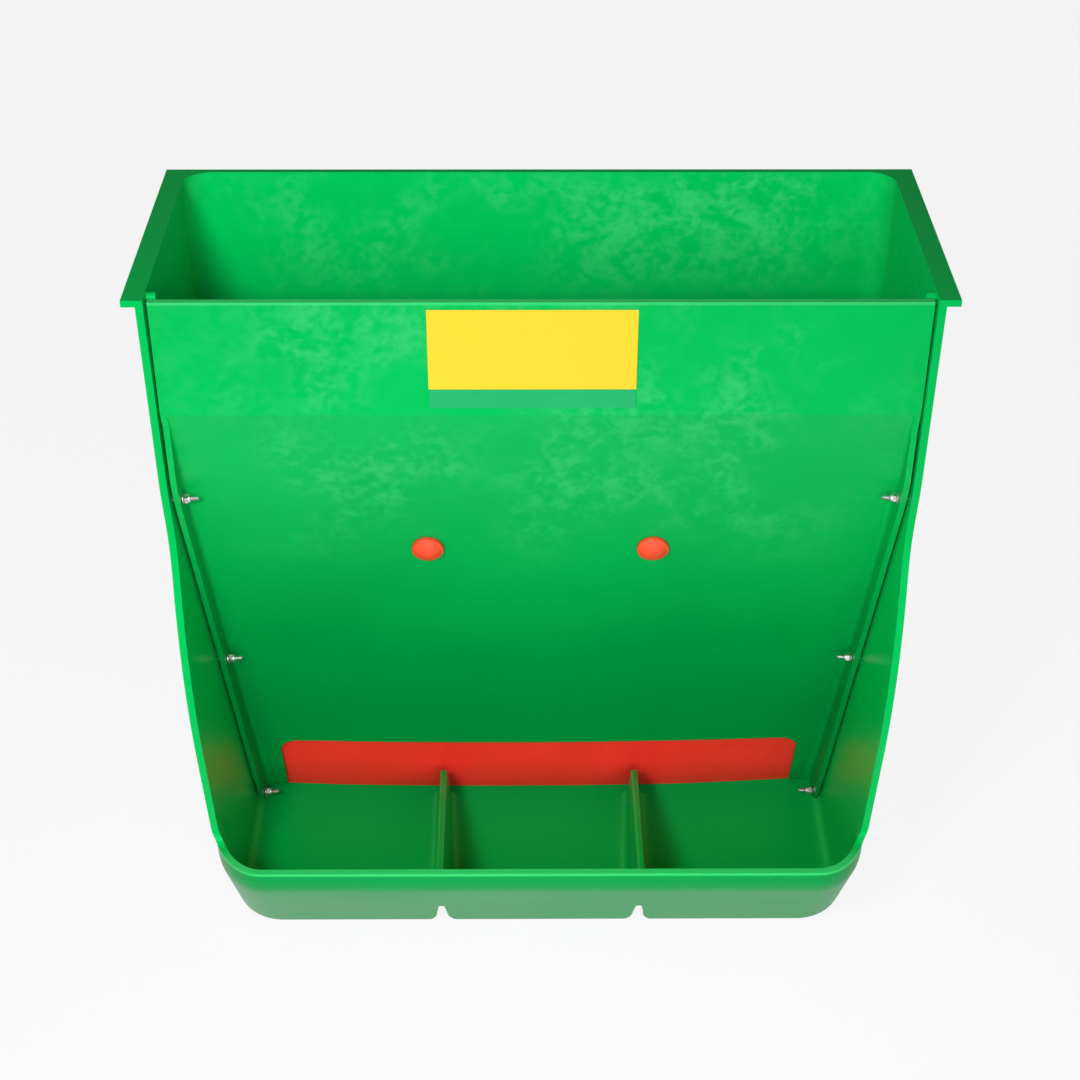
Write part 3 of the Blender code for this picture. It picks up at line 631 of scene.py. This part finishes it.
def build_gate():
    bm = bmesh.new()
    columns, rows = 56, 30
    rims = []
    for out in (GATE_FACE, GATE_FACE - GATE):
        grid = []
        for j in range(rows + 1):
            row = []
            for i in range(columns + 1):
                x = lerp(-GATE_HALF, GATE_HALF, i / columns)
                lift = gate_bulge(x, BULGE_FULL)
                bottom = (BEND - WALL - 0.0012 + (GATE_FACE - GATE + lift) * OUT.z) / -DOWN.z
                down = lerp(GATE_TOP, bottom, j / rows)
                row.append(bm.verts.new(slope_point(x, down, out + gate_bulge(x, down))))
            grid.append(row)
        add_grid_faces(bm, grid)
        sides = [row[-1] for row in grid[1:]], [row[0] for row in grid[-2:0:-1]]
        rims.append(grid[0] + sides[0] + grid[-1][-2::-1] + sides[1])
    add_sleeve(bm, *rims)
    bmesh.ops.recalc_face_normals(bm, faces=bm.faces)
    gate = new_piece("sliding_gate", bm)
    shape = bmesh.new()
    shy = GATE_CORNER + 0.0001
    corner = (GATE_HALF - shy, GATE_TOP + shy)
    half = [(GATE_HALF - 0.0001, 0.6)] + arc(corner, GATE_CORNER, 0, -math.pi / 2, 8)
    outline = half + [(-x, d) for x, d in reversed(half)]
    join_loops(shape, [[slope_point(x, d, out) for x, d in outline] for out in (0.02, -0.04)])
    slots = bmesh.new()
    for side in (-1, 1):
        across = side * STUD_OFFSET
        upper = arc((across, STUD_DOWN), SLOT_HALF, math.pi, 2 * math.pi, 14)
        lower = arc((across, STUD_DOWN + GATE_TRAVEL), SLOT_HALF, 0, math.pi, 14)
        join_loops(slots, [[slope_point(x, d, out) for x, d in upper + lower] for out in (0.01, -0.03)])
    tools = [add_cut(gate, shape, "INTERSECT"), add_cut(gate, slots, "DIFFERENCE")]
    add_bevel(gate, 0.0007, 2, 55)
    settle(gate, tools, 34)
    return gate


# Turned and threaded pieces, made along X and then set in place


def round_angles(sides):
    return [2 * math.pi * i / sides for i in range(sides)]


def add_rings(bm, rows, turns):
    """Rings about X joined by faces: each row is a place along X and a radius for each angle."""
    rings = []
    for along, radius in rows:
        ring = []
        for turn in turns:
            size = radius(turn) if callable(radius) else radius
            ring.append(bm.verts.new((along, size * math.cos(turn), size * math.sin(turn))))
        rings.append(ring)
    for near, far in zip(rings, rings[1:]):
        add_sleeve(bm, near, far)
    return rings


def turned(profile, sides):
    """A solid of revolution about X through (along, radius) points; ends at radius 0 are poles."""
    bm = bmesh.new()
    rings = []
    for along, radius in profile:
        if radius < 1e-7:
            rings.append([bm.verts.new((along, 0, 0))])
            continue
        points = [(along, radius * math.cos(t), radius * math.sin(t)) for t in round_angles(sides)]
        rings.append([bm.verts.new(point) for point in points])
    for near, far in zip(rings, rings[1:]):
        if len(near) == len(far):
            add_sleeve(bm, near, far)
        else:
            pole, ring = (near[0], far) if len(near) == 1 else (far[0], near)
            for i in range(sides):
                bm.faces.new((pole, ring[i], ring[(i + 1) % sides]))
    return bm


def closed_turned(profile, sides):
    """A ring about X whose (along, radius) profile closes on itself."""
    bm = turned(profile, sides)
    bm.verts.ensure_lookup_table()
    count = len(profile)
    first = [bm.verts[i] for i in range(sides)]
    final = [bm.verts[(count - 1) * sides + i] for i in range(sides)]
    add_sleeve(bm, final, first)
    return bm


def hexagon_radius(angle, flats):
    turn = (angle + math.pi / 6) % (math.pi / 3) - math.pi / 6
    return flats / 2 / math.cos(turn)


def nut_bmesh(flats, height, bore):
    """A hexagon nut with chamfered corners and a countersunk bore."""
    bm = bmesh.new()
    turns = round_angles(48)
    cone = flats / 2 * 0.97
    chamfer = math.tan(math.radians(30))
    fall = (flats / 2 / math.cos(math.pi / 6) - cone) * chamfer
    levels = [(fall * i / 6, cone + fall * i / 6 / chamfer) for i in range(7)]
    levels += [(height - rise, size) for rise, size in reversed(levels)]
    rows = [(along, lambda t, size=size: min(hexagon_radius(t, flats), size)) for along, size in levels]
    outer = add_rings(bm, rows, turns)
    sink = 0.0004
    rows = ((0, bore + sink), (sink, bore), (height - sink, bore), (height, bore + sink))
    inner = add_rings(bm, rows, turns)
    add_sleeve(bm, outer[0], inner[0])
    add_sleeve(bm, outer[-1], inner[-1])
    return bm


def thread_bmesh(start, end, radius, pitch, sides=40):
    """A threaded rod with helical grooves and chamfered ends."""
    bm = bmesh.new()
    depth = 0.55 * pitch
    steps = max(int((end - start) / pitch * 6), 6)
    rings = []
    for k in range(steps + 1):
        along = lerp(start, end, k / steps)
        ring = []
        for i in range(sides):
            turn = 2 * math.pi * i / sides
            phase = ((along - start) / pitch + i / sides) % 1
            wave = abs(phase * 2 - 1)
            cut = depth * min(max(wave * 1.25 - 0.125, 0), 1)
            chamfer = max(0.0009 - min(along - start, end - along), 0)
            size = radius - max(cut, chamfer)
            ring.append(bm.verts.new((along, size * math.cos(turn), size * math.sin(turn))))
        rings.append(ring)
    for near, far in zip(rings, rings[1:]):
        add_sleeve(bm, near, far)
    bm.faces.new(rings[0])
    bm.faces.new(rings[-1])
    return bm


def washer_bmesh(radius, bore, thickness):
    edge = 0.0003
    return closed_turned(
        [
            (0, bore + edge), (edge, bore), (thickness - edge, bore), (thickness, bore + edge),
            (thickness, radius - edge), (thickness - edge, radius), (edge, radius), (0, radius - edge),
        ],
        48,
    )


def merge(into, other, place=None):
    """Adds another bmesh's faces to this one."""
    mesh = bpy.data.meshes.new("part")
    if place:
        bmesh.ops.transform(other, matrix=place, verts=other.verts)
    other.to_mesh(mesh)
    other.free()
    into.from_mesh(mesh)
    bpy.data.meshes.remove(mesh)


def place_frame(origin, along, across):
    turn = Matrix((along, across, along.cross(across))).transposed().to_4x4()
    return Matrix.Translation(origin) @ turn


# Fasteners

# Side bolts: countersunk, with lock nuts, set back from the ribs' front edges
BOLT_FIRST = 0.0208
BOLT_PITCH = 0.2075
BOLT_BACK = 0.0085
BOLT = 0.002
BOLT_HEAD = 0.0038
BOLT_RIM = 0.0004
BOLT_SOCKET = 0.0025
BOLT_CLEARANCE = 0.0004
BOLT_TIP = 0.0065
NUT_FLATS = 0.007
NUT_HEX = 0.0034
NUT_HEIGHT = 0.005
WASHER = 0.0045
WASHER_THICK = 0.0010


def bolt_places():
    """Each bolt's hand, its row and a frame on the wall's outer face whose X runs inwards."""
    lean = math.atan(LOWER_FLARE)
    for side, hand in ((-1, "left"), (1, "right")):
        for row in range(3):
            centre = RIB_START + RIB_DOWN * (BOLT_FIRST + BOLT_PITCH * row) - RIB_OUT * BOLT_BACK
            centre.x = side * (FOOT_HALF + LOWER_FLARE * centre.z)
            inwards = Vector((-side * math.cos(lean), 0, math.sin(lean)))
            yield hand, row + 1, place_frame(centre, inwards, Vector((0, 1, 0)))


def bolt_bore_bmesh():
    """Countersunk bores through the side walls and the ribs."""
    bm = bmesh.new()
    head = BOLT_HEAD + BOLT_CLEARANCE
    shank = BOLT + BOLT_CLEARANCE
    rim = SEAT + BOLT_RIM
    profile = [(-0.004, 0), (-0.004, head), (rim, head)]
    profile += [(rim + head - shank, shank), (0.024, shank), (0.024, 0)]
    for _, _, place in bolt_places():
        merge(bm, turned(profile, 32), place)
    bmesh.ops.recalc_face_normals(bm, faces=bm.faces)
    return bm


def bolt_head_bmesh():
    """A countersunk head with a hexagon socket, and the start of its shank."""
    bm = bmesh.new()
    rim = SEAT + BOLT_RIM
    softened = 0.0001
    rings = add_rings(bm, (
        (SEAT + 0.0014, 0.0004),
        (SEAT + 0.0012, lambda t: hexagon_radius(t, BOLT_SOCKET)),
        (SEAT + softened, lambda t: hexagon_radius(t, BOLT_SOCKET)),
        (SEAT, lambda t: hexagon_radius(t, BOLT_SOCKET) + softened),
        (SEAT, BOLT_HEAD - softened),
        (SEAT + softened, BOLT_HEAD),
        (rim, BOLT_HEAD),
        (rim + BOLT_HEAD - BOLT, BOLT),
        (WALL + 0.004, BOLT),
    ), round_angles(48))
    bm.faces.new(rings[0])
    bm.faces.new(rings[-1])
    return bm


def lock_nut_bmesh():
    """A hexagon nut with a round collar for its locking ring."""
    bore = BOLT + 0.0002
    bm = nut_bmesh(NUT_FLATS, NUT_HEX, bore)
    base = NUT_HEX - 0.0001
    wide = NUT_FLATS / 2 * 0.93
    collar = [(base, bore), (base, wide), (NUT_HEIGHT - 0.0007, wide), (NUT_HEIGHT - 0.0002, wide - 0.0003)]
    collar += [(NUT_HEIGHT, wide - 0.0008), (NUT_HEIGHT, bore + 0.0003), (NUT_HEIGHT - 0.0003, bore)]
    merge(bm, closed_turned(collar, 48))
    return bm


def build_fasteners():
    washer_seat = WALL + SIDE_GAP + RIB + SEAT
    nut_seat = washer_seat + WASHER_THICK + SEAT
    tip = nut_seat + NUT_HEIGHT + BOLT_TIP
    turns = random.Random(7)
    for hand, row, place in bolt_places():
        bolt = bolt_head_bmesh()
        merge(bolt, thread_bmesh(WALL + 0.003, tip, BOLT - 0.00002, 0.0007))
        for name, made, along in (
            ("side_bolt", bolt, 0),
            ("side_washer", washer_bmesh(WASHER, BOLT + 0.00025, WASHER_THICK), washer_seat),
            ("side_nut", lock_nut_bmesh(), nut_seat),
        ):
            turn = Matrix.Rotation(turns.uniform(0, math.pi), 4, "X")
            bmesh.ops.transform(made, matrix=place @ Matrix.Translation((along, 0, 0)) @ turn, verts=made.verts)
            piece = new_piece(f"zinc_{name}_{hand}_{row}", made, 28)
            keep(piece, "hopper", "zinc_steel", STEEL, f"{name}_{hand}_{row}")


# Clamps: knob, stud, washer and nut, along an axis square to the panel
KNOB_HEIGHT = 0.0085
KNOB_RADIUS = 0.0132
KNOB_CROWN = 0.0040
KNOB_ROUND = 0.0018
CLAMP_BORE = 0.0043
CLAMP_WASHER = 0.002
CLAMP_NUT = 0.0065


def knob_profile():
    """The knob's (along, radius) outline, from its domed front to the blind bore in its back."""
    rim = KNOB_RADIUS - KNOB_ROUND
    dome = (rim**2 + KNOB_CROWN**2) / (2 * KNOB_CROWN)
    spread = math.asin(rim / dome)
    profile = [(-KNOB_HEIGHT, 0)]
    for i in range(1, 13):
        angle = spread * i / 12
        profile.append((dome * (1 - math.cos(angle)) - KNOB_HEIGHT, dome * math.sin(angle)))
    shoulder = -0.0045 - 0.0002
    for i in range(1, 6):
        angle = lerp(spread, math.pi / 2, i / 5)
        profile.append((shoulder + KNOB_ROUND * (1 - math.cos(angle)), rim + KNOB_ROUND * math.sin(angle)))
    profile += [(-0.0012, KNOB_RADIUS), (-0.0004, KNOB_RADIUS - 0.0002), (0, KNOB_RADIUS - 0.0006)]
    return profile + [(0, CLAMP_BORE + 0.0002), (-0.0055, CLAMP_BORE), (-0.0055, 0)]


def build_clamps():
    washer_at = -(GATE_FACE - GATE) + 2 * SEAT
    nut_at = washer_at + CLAMP_WASHER + SEAT
    tip = nut_at + CLAMP_NUT + 0.003
    for side, hand in ((-1, "left"), (1, "right")):
        place = place_frame(slope_point(side * STUD_OFFSET, STUD_DOWN, SEAT), -OUT, Vector((1, 0, 0)))
        knob = turned(knob_profile(), 72)
        stud = thread_bmesh(SEAT - 0.0055, tip, 0.00398, 0.00125)
        washer = washer_bmesh(0.012, CLAMP_BORE, CLAMP_WASHER)
        nut = nut_bmesh(0.013, CLAMP_NUT, 0.0042)
        for name, made, along, body, slot_name, finish, node in (
            ("knob", knob, 0, f"knob_{hand}", "knob_red", KNOB, "clamp_knob"),
            ("stud", stud, 0, f"knob_{hand}", "zinc_steel", STEEL, "knob_stud"),
            ("washer", washer, washer_at, "hopper", "zinc_steel", STEEL, "clamp_washer"),
            ("nut", nut, nut_at, "hopper", "zinc_steel", STEEL, "clamp_nut"),
        ):
            bmesh.ops.transform(made, matrix=place @ Matrix.Translation((along, 0, 0)), verts=made.verts)
            piece = new_piece(f"clamp_{name}_{hand}_shown", made, 28)
            keep(piece, body, slot_name, finish, f"{node}_{hand}")


# Label


LABEL_MIDDLE = -0.0066
LABEL_HALF = 0.079
LABEL_HEIGHT = 0.084
BAND_HEIGHT = 0.016
FILM = 0.0005


def build_label():
    """The plain label film: a yellow field and a green band below it."""
    near = FACE - FILM - SEAT
    left, right = LABEL_MIDDLE - LABEL_HALF, LABEL_MIDDLE + LABEL_HALF
    top = TOP - 0.009
    low = top - LABEL_HEIGHT
    split = low + BAND_HEIGHT
    for name, z0, z1, slot_name, finish, node in (
        ("label_plain_field", split + 0.00015, top, "label_yellow", LABEL, "label_field"),
        ("label_plain_band", low, split, "label_teal", BAND, "label_band"),
    ):
        bm = bmesh.new()
        columns, rows = 60, max(int((z1 - z0) / 0.0026), 4)
        grid = []
        for j in range(rows + 1):
            z = lerp(z0, z1, j / rows)
            grid.append([bm.verts.new((lerp(left, right, i / columns), near, z)) for i in range(columns + 1)])
        add_grid_faces(bm, grid)
        back = bmesh.ops.extrude_face_region(bm, geom=list(bm.faces))["geom"]
        corners = [v for v in back if isinstance(v, bmesh.types.BMVert)]
        bmesh.ops.translate(bm, verts=corners, vec=(0, FILM, 0))
        piece = new_piece(name, bm)
        add_bevel(piece, 0.00015, 2, 60)
        settle(piece, [], 34)
        keep(piece, "hopper", slot_name, finish, node)


# Materials


class Nodes:
    """A small helper that adds shader nodes to one material."""

    def __init__(self, name):
        self.material = bpy.data.materials.new(name)
        self.material.use_nodes = True
        self.tree = self.material.node_tree
        self.shader = self.tree.nodes["Principled BSDF"]
        self.where = self.tree.nodes.new("ShaderNodeTexCoord").outputs["Object"]

    def add(self, kind, settings=None, **sockets):
        made = self.tree.nodes.new(kind)
        for key, value in (settings or {}).items():
            setattr(made, key, value)
        for key, value in sockets.items():
            self.set(made.inputs[key], value)
        return made

    def set(self, socket, value):
        if isinstance(value, bpy.types.NodeSocket):
            self.tree.links.new(value, socket)
        else:
            socket.default_value = value

    def noise(self, scale, detail=3.0, rough=0.5, stretch=None, distortion=0.0, offset=(0, 0, 0)):
        where = self.where
        if stretch or offset != (0, 0, 0):
            sockets = {"Vector": self.where, "Scale": stretch or (1, 1, 1), "Location": offset}
            where = self.add("ShaderNodeMapping", **sockets).outputs[0]
        sockets = {"Scale": scale, "Detail": detail, "Roughness": rough, "Distortion": distortion}
        return self.add("ShaderNodeTexNoise", Vector=where, **sockets).outputs["Fac"]

    def ramp(self, value, low, high, to_low=0.0, to_high=1.0):
        sockets = {"Value": value, "From Min": low, "From Max": high, "To Min": to_low, "To Max": to_high}
        return self.add("ShaderNodeMapRange", {"interpolation_type": "SMOOTHSTEP"}, **sockets).outputs[0]

    def math(self, operation, a, b=0.5, clamp=False):
        made = self.add("ShaderNodeMath", {"operation": operation, "use_clamp": clamp})
        self.set(made.inputs[0], a)
        self.set(made.inputs[1], b)
        return made.outputs[0]

    def times(self, *factors):
        made = factors[0]
        for factor in factors[1:]:
            made = self.math("MULTIPLY", made, factor)
        return made

    def mix(self, share, a, b):
        made = self.add("ShaderNodeMix", {"data_type": "RGBA"})
        self.set(made.inputs[0], share)
        self.set(made.inputs[6], a if isinstance(a, bpy.types.NodeSocket) else (*a, 1))
        self.set(made.inputs[7], b if isinstance(b, bpy.types.NodeSocket) else (*b, 1))
        return made.outputs[2]

    def bump(self, height, strength, distance, onto=None):
        made = self.add("ShaderNodeBump", Height=height, Strength=strength, Distance=distance)
        if onto:
            self.set(made.inputs["Normal"], onto)
        return made.outputs[0]

    def axes(self, vector=None):
        return self.add("ShaderNodeSeparateXYZ", Vector=vector or self.where).outputs


def green_plastic(name, base, deep, pale, bloom, share, shade_heights, rim, edge=None):
    """Moulded plastic with a mottled bloom between two heights, painted shade low down, on level and front
    faces, and painted edge highlights.
    """
    m = Nodes(name)
    axes = m.axes()
    height = axes[2]
    aside = m.math("ABSOLUTE", axes[0])
    facing = m.axes(m.add("ShaderNodeNewGeometry").outputs["Normal"])
    drift = m.noise(5.0, 2.0)
    # Painted shade: towards the foot the colour turns to the deeper one, with a random drift of tone on top
    lower = m.math("ADD", m.ramp(height, shade_heights[1], shade_heights[0]), m.ramp(drift, 0.35, 0.75, 0.0, 0.25), True)
    colour = m.mix(lower, base, deep)
    # Mottling: fine grain gathered in patches, the patches in wide areas, less of it near the sides
    fine = m.times(m.noise(150.0, 3.0, 0.5), 0.35)
    grain = m.math("ADD", fine, m.times(m.noise(44.0, 4.0, 0.55, distortion=0.8), 0.65))
    area = m.ramp(m.noise(8.0, 3.0, 0.55, offset=(0.31, 0.12, 0.4)), 0.36, 0.56)
    band = m.times(m.ramp(height, bloom[0], bloom[0] + 0.14), m.ramp(height, bloom[1], bloom[1] - 0.03))
    mask = m.times(m.ramp(grain, 0.40, 0.64), area, band, m.ramp(aside, 0.19, 0.27, share, 0.3 * share))
    colour = m.mix(mask, colour, pale)
    scratch = m.noise(34.0, 4.0, 0.7, stretch=(1.0, 9.0, 14.0), distortion=0.2)
    colour = m.mix(m.ramp(scratch, 0.66, 0.72, 0.0, 0.10), colour, pale)
    # Painted shade: level faces, facing up, are darker
    level = m.ramp(facing[2], 0.7, 0.95)
    colour = m.mix(level, colour, UP_FACING_SHADE_GREEN)
    # Painted shade on the trough's forward-facing front below the lip top
    lip_front_shade = m.times(m.ramp(axes[1], -0.095, -0.105), m.ramp(facing[1], -0.2, -0.4))
    colour = m.mix(m.times(m.ramp(height, 0.1150, 0.1120), lip_front_shade), colour, LIP_SHADE_GREEN)
    # Painted shade on the side walls' forward faces above the lip
    if edge:
        side_front_shade = m.times(m.ramp(aside, 0.235, 0.25), m.ramp(facing[1], -0.2, -0.5))
        side_front_shade = m.times(m.ramp(axes[1], 0.02, 0.0), side_front_shade, m.ramp(height, 0.112, 0.118))
        colour = m.mix(side_front_shade, colour, edge)
    # Painted highlight: a pale line along the edges that rim bounds
    highlight_line = m.times(0.5, *(m.ramp(axes[axis], low, high) for axis, low, high in rim))
    colour = m.mix(highlight_line, colour, PAINTED_HIGHLIGHT_GREEN)
    m.set(m.shader.inputs["Base Color"], colour)
    rough = m.math("ADD", m.ramp(drift, 0.2, 0.8, 0.34, 0.42), m.times(mask, 0.25))
    m.set(m.shader.inputs["Roughness"], rough)
    m.set(m.shader.inputs["Specular IOR Level"], m.ramp(level, 0.0, 1.0, 0.35, 0.10))
    m.shader.inputs["Specular Tint"].default_value = (0.05, 1.0, 0.40, 1)
    peel = m.bump(m.noise(700.0, 2.0), 0.10, 0.0004)
    wave = m.bump(m.noise(11.0, 1.5), 0.35, 0.004, peel)
    m.set(m.shader.inputs["Normal"], m.bump(mask, 0.10, 0.0004, wave))
    return m.material


def plain_plastic(name, base, deep, rough, grain, specular=0.4):
    """Coloured plastic with a gentle drift of colour, fine marks and an uneven sheen."""
    m = Nodes(name)
    drift = m.noise(22.0, 3.0)
    colour = m.mix(m.ramp(drift, 0.35, 0.65), base, deep)
    marks = m.noise(160.0, 6.0, 0.7, stretch=(1.0, 1.0, 0.35))
    colour = m.mix(m.ramp(marks, 0.60, 0.75, 0.0, 0.25), colour, deep)
    m.set(m.shader.inputs["Base Color"], colour)
    m.set(m.shader.inputs["Roughness"], m.ramp(marks, 0.3, 0.8, rough - 0.05, rough + 0.14))
    m.shader.inputs["Specular IOR Level"].default_value = specular
    fine = m.bump(m.noise(grain, 2.0), 0.12, 0.0003)
    m.set(m.shader.inputs["Normal"], m.bump(m.noise(14.0, 1.5), 0.25, 0.003, fine))
    return m.material


def zinc(name):
    m = Nodes(name)
    bloom = m.noise(420.0, 5.0, 0.6)
    colour = m.mix(m.ramp(bloom, 0.35, 0.65), (0.62, 0.61, 0.58), (0.44, 0.43, 0.40))
    edge = m.add("ShaderNodeNewGeometry").outputs["Pointiness"]
    colour = m.mix(m.ramp(edge, 0.50, 0.56), colour, (0.82, 0.82, 0.80))
    m.set(m.shader.inputs["Base Color"], colour)
    m.shader.inputs["Metallic"].default_value = 1.0
    m.set(m.shader.inputs["Roughness"], m.ramp(bloom, 0.3, 0.7, 0.26, 0.48))
    m.set(m.shader.inputs["Normal"], m.bump(m.noise(1600.0, 2.0), 0.15, 0.0001))
    return m.material


def label_film(name, base, worn):
    """Printed film: an even colour with faint print grain, small bubbles and a soft gloss."""
    m = Nodes(name)
    grain = m.noise(900.0, 2.0)
    drift = m.noise(30.0, 4.0)
    colour = m.mix(m.ramp(drift, 0.4, 0.75, 0.0, 0.35), base, worn)
    colour = m.mix(m.ramp(grain, 0.55, 0.75, 0.0, 0.10), colour, worn)
    m.set(m.shader.inputs["Base Color"], colour)
    m.set(m.shader.inputs["Roughness"], m.ramp(drift, 0.3, 0.7, 0.30, 0.42))
    m.shader.inputs["Specular IOR Level"].default_value = 0.35
    bubbles = m.ramp(m.noise(120.0, 2.0), 0.66, 0.72)
    fine = m.bump(bubbles, 0.2, 0.0002)
    m.set(m.shader.inputs["Normal"], m.bump(m.noise(24.0, 2.0), 0.2, 0.002, fine))
    return m.material


# Painted shade on level faces
UP_FACING_SHADE_GREEN = (0.0, 0.345, 0.058)
# Painted shade on the trough's front
LIP_SHADE_GREEN = (0.0, 0.255, 0.051)
# Painted highlight on edges
PAINTED_HIGHLIGHT_GREEN = (0.06, 0.57, 0.17)
BODY_GREEN = green_plastic(
    "moulded_green_worn_shaded",
    base=(0.0, 0.545, 0.103),
    deep=(0.0, 0.46, 0.079),
    pale=(0.06, 0.66, 0.22),
    bloom=(0.44, 0.62),
    share=0.6,
    # Painted shade low down: full below the first height, gone above the second
    shade_heights=(0.20, 0.50),
    # Painted highlight along the lip's top edge
    rim=((2, 0.1125, 0.1145), (2, 0.1190, 0.1175), (1, -0.13, -0.15)),
    # Painted shade on the side walls' forward faces
    edge=(0.0, 0.40, 0.073),
)
PANEL_GREEN = green_plastic(
    "panel_green_worn_shaded",
    base=(0.0, 0.40, 0.074),
    deep=(0.0, 0.25, 0.044),
    pale=(0.036, 0.445, 0.125),
    bloom=(0.30, 0.62),
    share=0.65,
    # Painted shade low down: full below the first height, gone above the second
    shade_heights=(0.12, 0.52),
    # Painted highlight along the panel's top edge
    rim=((2, TOP - 0.0062, TOP - 0.0045),),
)
GATE_RED = plain_plastic("gate_red_worn", (0.98, 0.025, 0.021), (0.92, 0.024, 0.017), 0.42, 500.0)
KNOB = plain_plastic("knob_red_worn", (0.79, 0.068, 0.018), (0.71, 0.052, 0.014), 0.46, 900.0)
STEEL = zinc("zinc_plate")
LABEL = label_film("label_yellow_film", (0.67, 0.51, 0.014), (0.64, 0.48, 0.013))
BAND = label_film("label_green_film", (0.0, 0.34, 0.105), (0.0, 0.30, 0.09))


def keep(piece, body, slot_name, finish, node):
    """Gives a piece its finish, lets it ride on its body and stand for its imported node."""
    piece.data.materials.clear()
    piece.data.materials.append(finish)
    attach(piece, body)
    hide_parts(node)


keep(build_body(), "hopper", "moulded_green", BODY_GREEN, "body_shell")
keep(build_panel(), "hopper", "panel_green", PANEL_GREEN, "front_panel")
keep(build_gate(), "gate", "gate_red", GATE_RED, "feed_gate")
build_clamps()
build_fasteners()
build_label()


# Floor, light and camera


def stage_floor():
    bm = bmesh.new()
    bmesh.ops.create_grid(bm, x_segments=2, y_segments=2, size=6.0)
    floor = new_piece("studio_floor", bm)
    m = Nodes("studio_floor_white")
    m.shader.inputs["Base Color"].default_value = (0.8, 0.8, 0.8, 1)
    m.shader.inputs["Roughness"].default_value = 0.8
    m.shader.inputs["Specular IOR Level"].default_value = 0.0
    glow = m.add("ShaderNodeEmission", Color=(0.97, 0.97, 0.97, 1), Strength=1.0).outputs[0]
    path = m.add("ShaderNodeLightPath").outputs
    seen = m.math("MAXIMUM", path["Is Glossy Ray"], path["Is Transmission Ray"])
    seen = m.math("MAXIMUM", path["Is Camera Ray"], seen)
    blend = m.add("ShaderNodeMixShader")
    m.set(blend.inputs[0], m.math("MULTIPLY", seen, 0.9))
    m.set(blend.inputs[1], m.shader.outputs[0])
    m.set(blend.inputs[2], glow)
    out = next(n for n in m.tree.nodes if n.type == "OUTPUT_MATERIAL")
    m.set(out.inputs["Surface"], blend.outputs[0])
    floor.data.materials.append(m.material)


def add_area(name, place, target, size, power, spread=180):
    light = bpy.data.lights.new(name, "AREA")
    light.shape = "RECTANGLE"
    light.size, light.size_y = size
    light.energy = power
    light.spread = math.radians(spread)
    lamp = bpy.data.objects.new(name, light)
    bpy.context.scene.collection.objects.link(lamp)
    lamp.location = place
    lamp.rotation_euler = (Vector(target) - Vector(place)).to_track_quat("-Z", "Y").to_euler()


def set_world():
    world = bpy.data.worlds.new("studio")
    bpy.context.scene.world = world
    world.use_nodes = True
    tree = world.node_tree
    back = tree.nodes["Background"]
    path = tree.nodes.new("ShaderNodeLightPath")
    shown = tree.nodes.new("ShaderNodeMath")
    shown.operation = "MAXIMUM"
    tree.links.new(path.outputs["Is Camera Ray"], shown.inputs[0])
    tree.links.new(path.outputs["Is Transmission Ray"], shown.inputs[1])
    level = tree.nodes.new("ShaderNodeMapRange")
    tree.links.new(shown.outputs[0], level.inputs["Value"])
    level.inputs["To Min"].default_value = 0.20
    level.inputs["To Max"].default_value = 0.913
    tree.links.new(level.outputs[0], back.inputs["Strength"])
    back.inputs["Color"].default_value = (1, 1, 1, 1)


def set_camera():
    """The photograph's view: 34.4 degrees down, from 1.32 m in front of the panel's top edge."""
    pitch, yaw, roll = math.radians(34.43), math.radians(0.44), math.radians(0.16)
    forward = Vector((math.sin(yaw) * math.cos(pitch), math.cos(yaw) * math.cos(pitch), -math.sin(pitch)))
    right = Vector((math.cos(yaw), -math.sin(yaw), 0))
    up = right.cross(forward)
    across = math.cos(roll) * right + math.sin(roll) * up
    upright = math.cos(roll) * up - math.sin(roll) * right
    data = bpy.data.cameras.new("photo_camera")
    data.sensor_width = 36.0
    data.lens = data.sensor_width * 2000.0 / 1080.0
    camera = bpy.data.objects.new("photo_camera", data)
    bpy.context.scene.collection.objects.link(camera)
    matrix = Matrix((across, upright, -forward)).transposed().to_4x4()
    matrix.translation = Vector((-0.0107, -1.38755, 1.2936))
    camera.matrix_world = matrix
    bpy.context.scene.camera = camera


stage_floor()
set_world()
add_area("key", (-0.43, -1.13, 1.23), (0, -0.05, 0.36), (0.25, 0.25), 16.5)
add_area("fill", (0.40, -1.6, 1.15), (0, 0, 0.40), (0.9, 0.5), 10)
add_area("low", (0.0, -1.4, 0.62), (0, 0.06, 0.03), (0.7, 0.2), 0.8, 50)
set_camera()
bpy.context.scene.view_settings.view_transform = "Standard"
